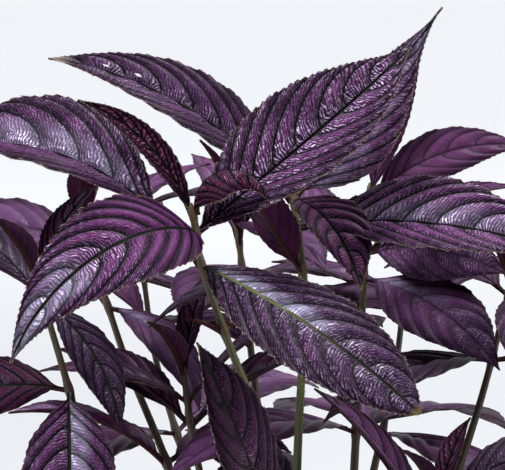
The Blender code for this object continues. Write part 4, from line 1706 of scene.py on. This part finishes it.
@dataclass(frozen=True)
class Pot:
    """A turned nursery pot: sloped wall with shallow rings, a band at its rim, and drain holes."""

    height: float = 0.150
    radius: float = 0.085
    foot_radius: float = 0.062
    wall: float = 0.0025
    floor: float = 0.003
    edge: float = 0.002
    rim_height: float = 0.018
    rim_out: float = 0.0035
    rim_edge: float = 0.001
    rim_under: tuple[float, float] = (0.0003, 0.0004)
    drain_holes: int = 6
    drain_radius: float = 0.005
    drain_ring: float = 0.040
    sides: int = 128
    hole_sides: int = 24
    round_steps: int = 5
    rings: int = 3
    ring_depth: float = 0.0005
    ring_half: float = 0.0012
    ring_flat_half: float = 0.0006
    lowest_ring: float = 0.030
    ring_below_band: float = 0.012
    sharp: float = 35

    def slope(self) -> float:
        """Gives how much the wall leans out for each metre of height."""
        return (self.radius - self.foot_radius) / self.height

    def profile(self) -> list[tuple[float, float]]:
        """Gives the turned outline as radius and height, up the outside and down the inside."""
        band = self.height - self.rim_height
        lip, inner = self.radius + self.rim_out, self.radius - self.wall
        foot, edge, rim_edge = self.foot_radius, self.edge, self.rim_edge
        turns = [(math.sin(turn), math.cos(turn)) for turn in np.linspace(0, math.pi / 2, self.round_steps)]
        outline = [(foot - edge + edge * sine, edge - edge * cosine) for sine, cosine in turns]
        spacing = (band - self.ring_below_band - self.lowest_ring) / (self.rings - 1)
        half, flat, depth = self.ring_half, self.ring_flat_half, self.ring_depth
        for ring in range(self.rings):
            for step, cut in ((-half, 0.0), (-flat, depth), (flat, depth), (half, 0.0)):
                z = self.lowest_ring + spacing * ring + step
                outline.append((foot + self.slope() * z - cut, z))
        outline.append((foot + self.slope() * (band - edge), band - edge))
        outline.append((lip - rim_edge, band))
        outline += [(lip - self.rim_under[0], band + self.rim_under[1]), (lip, band + edge)]
        top = self.height - rim_edge
        outline += [(lip - rim_edge + rim_edge * cosine, top + rim_edge * sine) for sine, cosine in turns]
        outline += [(inner + rim_edge - rim_edge * sine, top + rim_edge * cosine) for sine, cosine in turns]
        outline.append((foot - self.wall + self.slope() * self.floor, self.floor))
        return outline

    def build(self, finish: Material) -> Thing:
        """Turns the pot and drills it.

        Args:
            finish: The pot's material.

        Returns:
            The pot.
        """
        rings = self.profile()
        points = [point for radius, z in rings for point in circle(radius, z, self.sides)]
        body = plain_object("fine_pot", points, tube(len(rings), self.sides), finish)
        places = [(x, y) for x, y, _ in circle(self.drain_ring, 0, self.drain_holes)]
        drill(body, places, self.drain_radius, (-self.floor, 2 * self.floor), self.hole_sides)
        soften(body, self.sharp)
        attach(body, BODY)
        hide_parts("pot")
        return body


def plain_object(name: str, points: Iterable, faces: Iterable, finish: Material) -> Thing:
    """Makes an object from points and faces.

    Args:
        name: The object's name.
        points: Its points.
        faces: Its faces.
        finish: Its material.

    Returns:
        The object, linked to the scene.
    """
    mesh = bpy.data.meshes.new(name)
    mesh.from_pydata([tuple(p) for p in points], [], [tuple(f) for f in faces])
    mesh.materials.append(finish)
    return shown(name, mesh)


def drill(body: Thing, places: list, radius: float, ends: Span, sides: int) -> None:
    """Cuts upright round holes into a body in one cut.

    Args:
        body: The body.
        places: The holes' middles.
        radius: The holes' radius.
        ends: The heights that they run from and to.
        sides: How many sides they have.
    """
    points, faces = [], []
    for x, y in places:
        faces += tube(len(ends), sides, len(points))
        points += [(x + px, y + py, z) for z in ends for px, py, _ in circle(radius, 0, sides)]
    cutter = plain_object("drill", points, faces, body.data.materials[0])
    cut = body.modifiers.new("holes", "BOOLEAN")
    cut.operation = "DIFFERENCE"
    cut.object = cutter
    cut.solver = "EXACT"
    bpy.context.view_layer.update()
    evaluated = body.evaluated_get(bpy.context.evaluated_depsgraph_get())
    mesh = bpy.data.meshes.new_from_object(evaluated)
    body.modifiers.clear()
    body.data = mesh
    bpy.data.objects.remove(cutter)


@dataclass(frozen=True)
class Crumbs:
    """One kind of loose bits: how many, their least and greatest half length, and how flat they are."""

    name: str
    count: int
    sizes: tuple[float, float]
    flat: float
    waist: Span = (0.45, 0.95)
    flatness: Span = (0.6, 1.0)
    wobble: Span = (0.82, 1.18)
    lean: float = 0.4
    above: float = 0.25
    sharp: float = 40


@dataclass(frozen=True)
class PottingMix:
    """The soil: a lumpy mound that fills the pot, with bark and beads half sunk into it."""

    edge: float = 0.132
    mound: float = 0.005
    mound_share: float = 1 / 3
    lump: float = 0.0012
    lump_share: float = 1 / 4
    lump_waves: tuple = ((190, 0, 2), (0, 170, 1), (330, 210, 0))
    third_wave: float = 0.6
    gap: float = 0.0003
    sides: int = 120
    rings: int = 44
    fine: float = 0.0009
    fine_waves: int = 14
    fine_range: Span = (500, 1900)
    fine_level: float = 5
    smooth_rings: int = 4
    sharp: float = 60
    hole_radius: float = 0.0044
    hole_sides: int = 16
    bark: Crumbs = Crumbs("soil_bark", 620, (0.0012, 0.0034), 0.5)
    beads: Crumbs = Crumbs("soil_beads", 170, (0.0010, 0.0022), 0.9)
    clear_of_stem: float = 0.0062
    clear_of_wall: float = 0.004
    seed: int = 11

    def height(self, x: Array, y: Array, edge: float) -> Array:
        """Gives the plain soil's height: a low mound with rolling lumps that fade out at the pot's wall.

        Args:
            x: Places along X.
            y: Places along Y.
            edge: The soil's outer radius.

        Returns:
            The heights.
        """
        reach = 1 - np.minimum(1, np.hypot(x, y) / edge)
        first, second, third = [np.sin(a * x + b * y + c) for a, b, c in self.lump_waves]
        lump = self.lump * (first * second + self.third_wave * third)
        return self.edge + self.mound * np.minimum(1, reach / self.mound_share) + (
            lump * np.minimum(1, reach / self.lump_share))

    def roughness(self, x: Array, y: Array) -> Array:
        """Gives the fine unevenness on top of that.

        Args:
            x: Places along X.
            y: Places along Y.

        Returns:
            The heights to add.
        """
        draw = np.random.default_rng(self.seed)
        total = 0 * x
        for _ in range(self.fine_waves):
            way = draw.uniform(0, math.tau)
            size = draw.uniform(*self.fine_range)
            shift = draw.uniform(0, math.tau)
            total = total + np.sin(size * (x * math.cos(way) + y * math.sin(way)) + shift)
        return self.fine * total / self.fine_level

    def outer(self, pot: Pot, z: float) -> float:
        """Gives the soil's radius at a height."""
        return pot.foot_radius - pot.wall + pot.slope() * z - 2 * self.gap

    def build(self, pot: Pot, feet: list[tuple[float, float]], finishes: list[Material]) -> list:
        """Builds the soil and its loose bits.

        Args:
            pot: The pot that holds it.
            feet: Where the stems stand.
            finishes: The materials of the soil, the bark and the beads.

        Returns:
            The pieces.
        """
        base = pot.floor + self.gap
        edge = self.outer(pot, self.edge)
        points = circle(self.outer(pot, base), base, self.sides)
        for k in range(self.rings):
            level = np.array(circle(edge * (1 - k / self.rings), 0, self.sides))
            z = self.height(level[:, 0], level[:, 1], edge)
            if k:
                z = z + self.roughness(level[:, 0], level[:, 1]) * min(1, k / self.smooth_rings)
            points += [(px, py, pz) for (px, py, _), pz in zip(level, z)]
        middle = np.zeros(1)
        points.append((0, 0, float(self.height(middle, middle, edge)[0])))
        faces = bands(self.rings + 1, self.sides)
        last = self.rings * self.sides
        faces += [(last + k, last + (k + 1) % self.sides, len(points) - 1) for k in range(self.sides)]
        faces.append(tuple(range(self.sides - 1, -1, -1)))
        ground = plain_object("fine_soil", points, faces, finishes[0])
        depth = HABIT.stem_level - HABIT.stem_depth - self.gap
        drill(ground, feet, self.hole_radius, (depth, pot.height), self.hole_sides)
        pieces = [soften(ground, self.sharp)]
        for kind, finish in zip((self.bark, self.beads), finishes[1:]):
            pieces.append(self.scatter(kind, feet, edge, finish))
        for piece in pieces:
            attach(piece, BODY)
            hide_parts("soil")
        return pieces

    def scatter(self, kind: Crumbs, feet: list, edge: float, finish: Material) -> Thing:
        """Scatters loose bits on the soil, half sunk and clear of the stems.

        Args:
            kind: Which bits.
            feet: Where the stems stand.
            edge: The soil's outer radius.
            finish: Their material.

        Returns:
            The piece.
        """
        draw = random.Random(self.seed + kind.count)
        shape = bead_shape()
        points, faces = [], []
        while len(points) < kind.count * len(shape[0]):
            reach, turn = (edge - self.clear_of_wall) * math.sqrt(draw.random()), draw.uniform(0, math.tau)
            x, y = reach * math.cos(turn), reach * math.sin(turn)
            if min(math.hypot(x - fx, y - fy) for fx, fy in feet) < self.clear_of_stem:
                continue
            size = draw.uniform(*kind.sizes)
            spin = draw.uniform(0, math.tau)
            lean = draw.uniform(-kind.lean, kind.lean)
            cos_spin, sin_spin = math.cos(spin), math.sin(spin)
            cos_lean, sin_lean = math.cos(lean), math.sin(lean)
            waist, flatness = draw.uniform(*kind.waist), draw.uniform(*kind.flatness)
            stretch = (size, size * waist, size * kind.flat * flatness)
            rise = float(self.height(np.array([x]), np.array([y]), edge)[0]) + kind.above * stretch[2]
            start = len(points)
            for px, py, pz in shape[0]:
                wobble = draw.uniform(*kind.wobble)
                qx, qy, qz = px * stretch[0] * wobble, py * stretch[1] * wobble, pz * stretch[2] * wobble
                qx, qz = qx * cos_lean - qz * sin_lean, qx * sin_lean + qz * cos_lean
                px, py = x + qx * cos_spin - qy * sin_spin, y + qx * sin_spin + qy * cos_spin
                points.append((px, py, rise + qz))
            faces += [tuple(i + start for i in face) for face in shape[1]]
        return soften(plain_object(kind.name, points, faces, finish), kind.sharp)


def bead_shape() -> tuple[list, list]:
    """Gives the points and triangles of a twenty-sided bead."""
    golden = (1 + math.sqrt(5)) / 2
    corners = []
    for a, b in ((-1, golden), (1, golden), (-1, -golden), (1, -golden)):
        corners += [(a, b, 0), (0, a, b), (b, 0, a)]
    points = [Vector(corner).normalized() for corner in corners]
    slack = 1.05
    side = min((points[0] - other).length for other in points[1:]) * slack
    faces = []
    for i, j, k in combinations(range(len(points)), 3):
        trio = (points[i], points[j], points[k])
        if all((trio[m] - trio[m - 1]).length < side for m in range(3)):
            out = (trio[1] - trio[0]).cross(trio[2] - trio[0]).dot(sum(trio, Vector()))
            faces.append((i, j, k) if out > 0 else (i, k, j))
    return [tuple(point) for point in points], faces


@dataclass(frozen=True)
class LeafyStem:
    """One leafy stem: large near leaves as pieces of their own, and the stem with all its other leaves.

    A stem that ends below green_above is woody. The shares and spreads set the other leaves' tints.
    """

    name: str
    curve: Array
    leaves: list[Leaf]
    maroon_share: float = 0.35
    sheen_film_share: float = 0.5
    green_above: float = 0.49
    stem_hair_seed: float = 1.0
    far_span: Span = (-0.05, 0.12)
    silver_spread: Span = (0.3, 1.3)
    maroon_age: Span = (0.5, 0.75)
    light_spread: Span = (0.0, 0.8)
    haze_and_painted_light_spread: Span = (0.1, 0.35)
    more_if_far: float = 0.4
    sheen_film_strength: Span = (0.3, 0.7)
    sheen_film_end: Span = (0.5, 1.1)
    sheen_film_reach: Span = (0.2, 0.4)

    def build(self, finishes: list[Material]) -> list[Thing]:
        """Builds the pieces.

        Args:
            finishes: The materials of the leaves, the stem and the hairs.

        Returns:
            The pieces.
        """
        pieces = []
        leaf_slot, stem_slot, hair_slot = range(len(finishes))
        rest = [leaf for leaf in self.leaves if not leaf.name]
        for leaf in self.leaves:
            if leaf.name:
                draft, sheet = Draft(), Sheet(3)
                berth = Berth(draft, leaf_slot, sheet, 0)
                top = Blade(leaf, self.seed(leaf)).build(berth, leaf.root(self.curve))
                Hairs(self.seed(leaf)).on_edges(Berth(draft, hair_slot, sheet, 2), top)
                pieces.append(draft.finish(leaf.name, finishes))
        draft = Draft()
        sheet = Sheet(2 * len(rest) + 2)
        for index, leaf in enumerate(rest):
            berth = Berth(draft, leaf_slot, sheet, 2 * index)
            Blade(self.tinted(leaf), self.seed(leaf)).build(berth, leaf.root(self.curve))
        joints = tuple(sorted({leaf.at for leaf in self.leaves}))
        woody = float(self.curve[-1, 2] < self.green_above)
        rings = Stem(self.curve, joints, woody).build(Berth(draft, stem_slot, sheet, 2 * len(rest)))
        if not woody:
            Hairs(self.stem_hair_seed).on_stem(Berth(draft, hair_slot, sheet, 2 * len(rest) + 1), rings)
        pieces.append(draft.finish(f"{self.name}_fine", finishes))
        for piece in pieces:
            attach(piece, BODY)
            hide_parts(self.name)
        return pieces

    def seed(self, leaf: Leaf) -> float:
        """Gives each leaf a number of its own, from how it grows."""
        return (leaf.heading * 0.37 + leaf.length * 97.0) % 10.0

    def tinted(self, leaf: Leaf) -> Leaf:
        """Gives a leaf of the rest its own tone: more or less silver, light or maroon, and lighter and
        duller far back, which is painted light.

        Args:
            leaf: The leaf.

        Returns:
            The same leaf with that tone.
        """
        if leaf.tone.by_hand:
            return leaf
        draw = random.Random(round(MM * self.seed(leaf)))
        # Painted light: leaves farther back get more light and haze
        far = self.more_if_far * float(smooth(*self.far_span, leaf.root(self.curve)[1]))
        maroon = draw.random() < self.maroon_share
        sheen_film = draw.uniform(*self.sheen_film_strength) if draw.random() < self.sheen_film_share else 0.0
        left = draw.random() < 0.5
        tone = leaf.tone
        return replace(leaf, tone=replace(
            tone,
            silver_left=tone.silver_left * draw.uniform(*self.silver_spread),
            silver_right=tone.silver_right * draw.uniform(*self.silver_spread),
            age=tone.age * (draw.uniform(*self.maroon_age) if maroon else 1.0),
            light=draw.uniform(*self.light_spread) + far,
            haze=draw.uniform(*self.haze_and_painted_light_spread) + far,
            sheen_film_left=sheen_film if left else 0.0,
            sheen_film_right=0.0 if left else sheen_film,
            sheen_film_to=draw.uniform(*self.sheen_film_end),
            sheen_film_reach=draw.uniform(*self.sheen_film_reach) * leaf.width,
        ))


@dataclass(frozen=True)
class Studio:
    """The pale floor, the soft light and the camera. A lamp is its name, place, side and watts."""

    target: Place = (-0.02, -0.03, 0.47)
    distance: float = 1.1
    elevation: float = 10.0
    lens: float = 136.0
    sensor: float = 36.0
    floor_radius: float = 40.0
    floor_sides: int = 64
    floor_drop: float = 0.0002
    floor: Colour = linear(232, 234, 237)
    floor_roughness: Span = (0.75, 0.85)
    floor_specular: float = 0.1
    floor_glow: float = 0.57
    glow_span: Span = (0.8, 3.0)
    sky: Colour = linear(242, 245, 248)
    sky_behind: float = 0.60
    sky_ahead: float = 0.06
    sky_span: Span = (-0.7, 0.6)
    sky_height_share: float = 0.8
    lamps: tuple = (
        ("key_light", (-0.9, -0.7, 2.1), 0.45, 26.0),
        ("top_light", (0.6, 0.8, 2.2), 0.6, 22.0),
        ("side_light", (1.6, -0.4, 1.0), 0.6, 9.0),
    )

    def build(self) -> None:
        """Builds all of it."""
        scene = bpy.context.scene
        scene.view_settings.view_transform = "Standard"
        self.lay_floor()
        self.light_sky()
        for name, place, size, power in self.lamps:
            self.lamp(name, place, size, power)
        camera = bpy.data.cameras.new("camera")
        camera.lens = self.lens
        camera.sensor_width = self.sensor
        lean = math.radians(self.elevation)
        view = shown("camera", camera)
        view.location = Vector(self.target) + self.distance * Vector((0, -math.cos(lean), math.sin(lean)))
        view.rotation_euler = self.look_from(view.location)
        scene.camera = view

    def look_from(self, place: Iterable) -> Euler:
        """Gives the turn that makes a lamp or a camera at a place look at the plant."""
        return (Vector(self.target) - Vector(place)).to_track_quat("-Z", "Y").to_euler()

    def lay_floor(self) -> None:
        """Lays the pale floor, which glows far behind the plant so that it meets the sky."""
        w = finish_wiring("floor_paint")
        place = w.place()
        _, ahead, _ = w.split(place)
        w.give("Emission Color", self.sky)
        w.give("Emission Strength", w.ease(ahead, *self.glow_span, 0.0, self.floor_glow))
        gloss = w.ease(w.noise(place, 30.0), 0.3, 0.7, *self.floor_roughness)
        finish = w.done(self.floor, gloss, self.floor_specular)
        points = circle(self.floor_radius, -self.floor_drop, self.floor_sides)
        floor = plain_object("floor", points, [tuple(range(self.floor_sides))], finish)

    def light_sky(self) -> None:
        """Lights the scene from all round, more from above and behind the plant than from the near side."""
        w = Wiring(bpy.data.worlds.new("soft_sky"), "Background")
        _, ahead, up = w.split(w.node("TexCoord", {}).outputs["Generated"])
        feeds = {0: up, 1: self.sky_height_share, 2: ahead}
        high = w.node("Math", feeds, operation="MULTIPLY_ADD").outputs[0]
        w.give("Color", self.sky)
        w.give("Strength", w.ease(high, *self.sky_span, self.sky_ahead, self.sky_behind))
        bpy.context.scene.world = w.owner

    def lamp(self, name: str, place: Place, size: float, power: float) -> None:
        """Hangs a soft square lamp that looks at the plant.

        Args:
            name: The lamp's name.
            place: Where it hangs.
            size: Its side.
            power: Its power in watts.
        """
        lamp = bpy.data.lights.new(name, "AREA")
        lamp.size = size
        lamp.energy = power
        thing = shown(name, lamp)
        thing.location = place
        thing.rotation_euler = self.look_from(place)


def faces_of(piece: Thing) -> int:
    """Counts a piece's triangles."""
    sizes = np.zeros(len(piece.data.polygons), np.int32)
    piece.data.polygons.foreach_get("loop_total", sizes)
    return int(np.sum(sizes - 2))


def main() -> None:
    """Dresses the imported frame."""
    logging.basicConfig(level=logging.INFO, format="%(message)s")
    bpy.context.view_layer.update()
    Studio().build()
    pot = Pot()
    leafy_finishes = [LeafFinish().make(), StemFinish().make(), HairFinish().make()]
    pieces = [pot.build(PotFinish().make())]
    soil_finishes = [SoilFinish().make(), CrumbFinish().make(), CrumbFinish(beads=True).make()]
    feet = [shoot.route[0] for shoot in SHOOTS]
    pieces += PottingMix().build(pot, feet, soil_finishes)
    for name, (curve, leaves) in Growth(SHOOTS).grow(pot).items():
        pieces += LeafyStem(name, curve, leaves).build(leafy_finishes)
    total = 0
    for piece in pieces:
        total += faces_of(piece)
        LOG.info("%s: %d triangles", piece.name, faces_of(piece))
    LOG.info("%d pieces, %d triangles", len(pieces), total)


SHOOTS = (
    Shoot(
        "leafy_stem_front",
        ((0.000, -0.040), (-0.002, -0.098, 0.298), (-0.013, -0.084, 0.362), (-0.036, -0.080, 0.425),
         (-0.048, -0.077, 0.461), (-0.051, -0.077, 0.480), (-0.054, -0.077, 0.496)),
        (
            Leaf(0.480, 0.177, 0.067, 20, 36, 7, 27, -45, 22, 44, belly=0.95, taper=1.3, petiole=0.02,
                 name="leaf_right_rising", detail=Detail.HERO, veins=11,
                 tone=Tone(1.0, 0.8, light=0.6, haze=0.02)),
            Leaf(0.480, 0.150, 0.060, -122, 20, 90, -46, 34, 15, 15, belly=0.6, taper=1.2, petiole=0.01,
                 name="leaf_left_hanging", detail=Detail.HERO, veins=10,
                 tone=Tone(0.8, 0.8, 0.38, light=0.95, sheen_film_left=0.8, sheen_film_right=0.6, sheen_film_from=0.5,
                           sheen_film_to=1.3, sheen_film_reach=0.034, haze=0.06)),
            Leaf(0.461, 0.156, 0.067, -48, -8, 32, 27, -30, 0, 22, belly=0.95, taper=0.75, petiole=0.015,
                 name="leaf_right_hanging", detail=Detail.HERO, veins=10,
                 tone=Tone(0.5, 0.5, pale_rib=1.0, light=0.25, sheen_film_left=0.9, sheen_film_to=0.55,
                           sheen_film_reach=0.018, haze=0.04)),
            Leaf(0.461, 0.198, 0.078, 162, 55, 77, 0, 6, 20, 52, belly=1.1, petiole=0.20,
                 name="leaf_left_far", detail=Detail.HERO, veins=10,
                 tone=Tone(0.15, 0.8, light=0.5, sheen_film_right=0.5, sheen_film_from=0.2, sheen_film_to=1.1,
                           sheen_film_reach=0.034)),
            Leaf(0.489, 0.094, 0.018, 156, 68, 50, 14, 55, 42, 42, 15, petiole=0.03, name="leaf_young_tall",
                 detail=Detail.SMALL, veins=9, tone=Tone(0.8, 0.8, age=0.2, light=0.8)),
            Leaf(0.489, 0.070, 0.038, -10, 104, 186, 0, 0, -45, -45, 15, belly=0.7, petiole=0.05,
                 name="leaf_young_curled", detail=Detail.SMALL, veins=9,
                 tone=Tone(0.45, 0.45, age=0.2, light=0.3)),
            Leaf(0.298, 0.143, 0.063, -138, 69, 4, -18, 74, 35, 0, name="leaf_front_low",
                 detail=Detail.CLOSE, veins=9, tone=Tone(0.45, 0.4, -0.2, 0.6, age=0.65, light=0.3)),
            Leaf(0.298, 0.120, 0.048, 60, 20, 50),
            Leaf(0.425, 0.022, 0.009, -150, 30, 10, veins=5, tone=Tone(0.0, 0.0, age=0.0)),
            Leaf(0.425, 0.018, 0.008, 30, 40, 10, veins=5, tone=Tone(0.0, 0.0, age=0.0)),
        ),
    ),
    Shoot(
        "leafy_stem_tall",
        ((0.012, -0.008), (0.006, -0.030, 0.300), (0.009, -0.030, 0.400), (0.009, -0.022, 0.450),
         (0.004, -0.008, 0.486), (0.003, -0.003, 0.497)),
        (
            Leaf(0.486, 0.169, 0.064, 178, 52, 43, 0, 15, 18, 38, belly=0.9, name="leaf_left_high",
                 detail=Detail.CLOSE, veins=10, tone=Tone(0.3, 0.35, light=0.4, dry=1.0, haze=0.08),
                 bites=((0.136, -0.0035, 0.0015, 0.0011), (0.1175, -0.0050, 0.0017, 0.0011))),
            Leaf(0.486, 0.160, 0.060, 38, 44, 2, 0, -40, 84, 20, belly=0.75, taper=1.85,
                 name="leaf_right_upright", detail=Detail.CLOSE, veins=10,
                 tone=Tone(1.0, 1.0, light=1.0, sheen_film_left=0.45, sheen_film_right=0.45, sheen_film_to=1.3,
                           sheen_film_reach=0.04, haze=0.15)),
            Leaf(0.472, 0.165, 0.068, -22, 12, 33, 22, -13, 45, 12, name="leaf_right_far",
                 detail=Detail.CLOSE, veins=10,
                 tone=Tone(1.0, 0.4, light=0.7, sheen_film_left=0.4, sheen_film_from=0.0, sheen_film_to=0.9,
                           sheen_film_reach=0.03, haze=0.05)),
            Leaf(0.472, 0.120, 0.050, 145, 30, 60),
            Leaf(0.488, 0.086, 0.042, -56, -2, 58, -6, 0, 30, 22, 15, petiole=0.03,
                 name="leaf_young_centre", detail=Detail.SMALL, veins=8,
                 tone=Tone(0.35, 0.3, age=0.65, light=1.2, haze=0.15)),
            Leaf(0.448, 0.080, 0.036, -155, 54, -9, -65, -49, 20, 20, 15, name="leaf_young_under",
                 detail=Detail.SMALL, veins=8, tone=Tone(0.1, 0.1, age=0.3)),
            Leaf(0.400, 0.110, 0.044, 60, 25, 55),
            Leaf(0.444, 0.098, 0.050, 176, 6, 50),
        ),
        ((0.300, 150),),
        youngest=2.0,
    ),
    Shoot(
        "leafy_stem_right_back",
        ((0.036, 0.026), (0.044, 0.048, 0.300), (0.049, 0.062, 0.400), (0.054, 0.088, 0.471),
         (0.055, 0.094, 0.482)),
        (
            # Painted light: these leaves lie in shade, and a strong light and haze lift them
            Leaf(0.471, 0.110, 0.040, 4, 48, 58, 0, -42, 15, 15, tone=Tone(
                0.0, 0.0, age=0.6, light=1.0, haze=0.45, by_hand=True)),
            Leaf(0.471, 0.112, 0.028, 20, 78, 14, 0, -30, 15, 15, tone=Tone(
                0.1, 0.1, age=0.7, light=1.0, haze=0.4, by_hand=True)),
            Leaf(0.440, 0.100, 0.046, -33, 10, 40, 0, -45, 20, 10, tone=Tone(
                0.8, 0.8, light=1.5, haze=0.5, by_hand=True)),
            Leaf(0.425, 0.122, 0.056, -38, -6, 42, 0, -20, 10, 10, tone=Tone(
                0.8, 0.5, light=1.5, sheen_film_left=0.6, sheen_film_reach=0.02, haze=0.5, by_hand=True)),
        ),
        ((0.440, 147), (0.330, 50)),
        youngest=1.5,
    ),
    Shoot(
        "leafy_stem_right",
        ((0.046, -0.012), (0.084, -0.006, 0.260), (0.116, 0.012, 0.350), (0.136, 0.026, 0.424),
         (0.138, 0.028, 0.436)),
        (
            Leaf(0.424, 0.112, 0.052, -78, -4, 62, 0, 10, 15, 15),
            Leaf(0.424, 0.112, 0.052, 150, 25, 50),
            Leaf(0.385, 0.100, 0.046, -10, 10, 50),
            Leaf(0.385, 0.122, 0.056, 205, 20, 50),
        ),
        ((0.432, 20), (0.300, 20)),
        youngest=0.6,
    ),
    Shoot(
        "leafy_stem_left_back",
        ((-0.034, 0.022), (-0.068, 0.046, 0.290), (-0.100, 0.068, 0.370), (-0.124, 0.087, 0.440),
         (-0.128, 0.090, 0.452)),
        (
            Leaf(0.440, 0.112, 0.058, 178, 28, 46, 0, 25, 10, 15),
            Leaf(0.440, 0.100, 0.044, 20, 60, 55),
            Leaf(0.405, 0.096, 0.048, -28, -6, 72, 0, 0, 15, 15),
            Leaf(0.405, 0.110, 0.048, 120, 25, 60),
        ),
        ((0.452, 95), (0.310, 30)),
        youngest=0.4,
    ),
    Shoot(
        "leafy_stem_left",
        ((-0.040, -0.024), (-0.080, -0.046, 0.250), (-0.113, -0.046, 0.330), (-0.126, -0.044, 0.382),
         (-0.141, -0.034, 0.432), (-0.145, -0.030, 0.448)),
        (
            Leaf(0.432, 0.092, 0.038, -25, -28, 56, 0, -10, 12, 12),
            Leaf(0.432, 0.110, 0.046, 150, 50, 50),
            Leaf(0.382, 0.104, 0.052, 186, 14, 50, 0, 30, 15, 15, tone=Tone(
                0.0, 0.0, age=0.45, light=-0.2, haze=0.05, by_hand=True)),
            Leaf(0.382, 0.112, 0.052, -85, -30, 50, 0, 0, 14, 14, tone=Tone(
                0.5, 0.5, light=0.7, sheen_film_left=0.9, sheen_film_to=1.2, sheen_film_reach=0.022, haze=0.1, by_hand=True)),
        ),
        ((0.446, 60), (0.280, 160)),
        youngest=0.3,
    ),
    Shoot(
        "leafy_stem_back",
        ((0.002, 0.034), (-0.010, 0.068, 0.280), (-0.022, 0.098, 0.380), (-0.032, 0.122, 0.470)),
        (
            Leaf(0.450, 0.108, 0.050, -58, 20, 55),
            Leaf(0.425, 0.108, 0.050, -110, 12, 45),
            Leaf(0.418, 0.104, 0.048, -20, 20, 50),
        ),
        ((0.466, 20), (0.440, 105), (0.390, 10), (0.310, 95)),
    ),
    Shoot(
        "leafy_stem_middle",
        ((-0.016, -0.006), (-0.032, -0.004, 0.240), (-0.052, -0.002, 0.320), (-0.062, -0.002, 0.385)),
        (
            Leaf(0.365, 0.096, 0.044, -5, 55, 30),
            Leaf(0.365, 0.092, 0.042, 185, 35, 45),
        ),
        ((0.382, 70), (0.350, 160), (0.280, 65)),
        youngest=0.2,
    ),
    Shoot(
        "leafy_stem_right_low",
        ((0.034, -0.042), (0.062, -0.058, 0.220), (0.080, -0.064, 0.280), (0.086, -0.064, 0.322)),
        (),
        ((0.320, 60), (0.296, 150), (0.240, 60)),
        youngest=0.2,
    ),
    Shoot(
        "leafy_stem_back_left",
        ((-0.026, 0.048), (-0.058, 0.100, 0.270), (-0.084, 0.138, 0.350), (-0.094, 0.154, 0.410)),
        (),
        ((0.408, 60), (0.376, 150), (0.310, 55)),
        youngest=0.3,
    ),
    Shoot(
        "leafy_stem_back_right",
        ((0.028, 0.052), (0.054, 0.098, 0.260), (0.076, 0.134, 0.350), (0.084, 0.150, 0.420)),
        (),
        ((0.418, 110), (0.384, 20), (0.310, 115)),
        youngest=0.3,
    ),
    Shoot(
        "leafy_stem_front_low",
        ((-0.008, -0.060), (-0.026, -0.098, 0.200), (-0.040, -0.116, 0.240), (-0.046, -0.122, 0.268)),
        (),
        ((0.266, 10), (0.228, 100)),
        youngest=0.2,
    ),
)


if __name__ == "__main__":
    main()
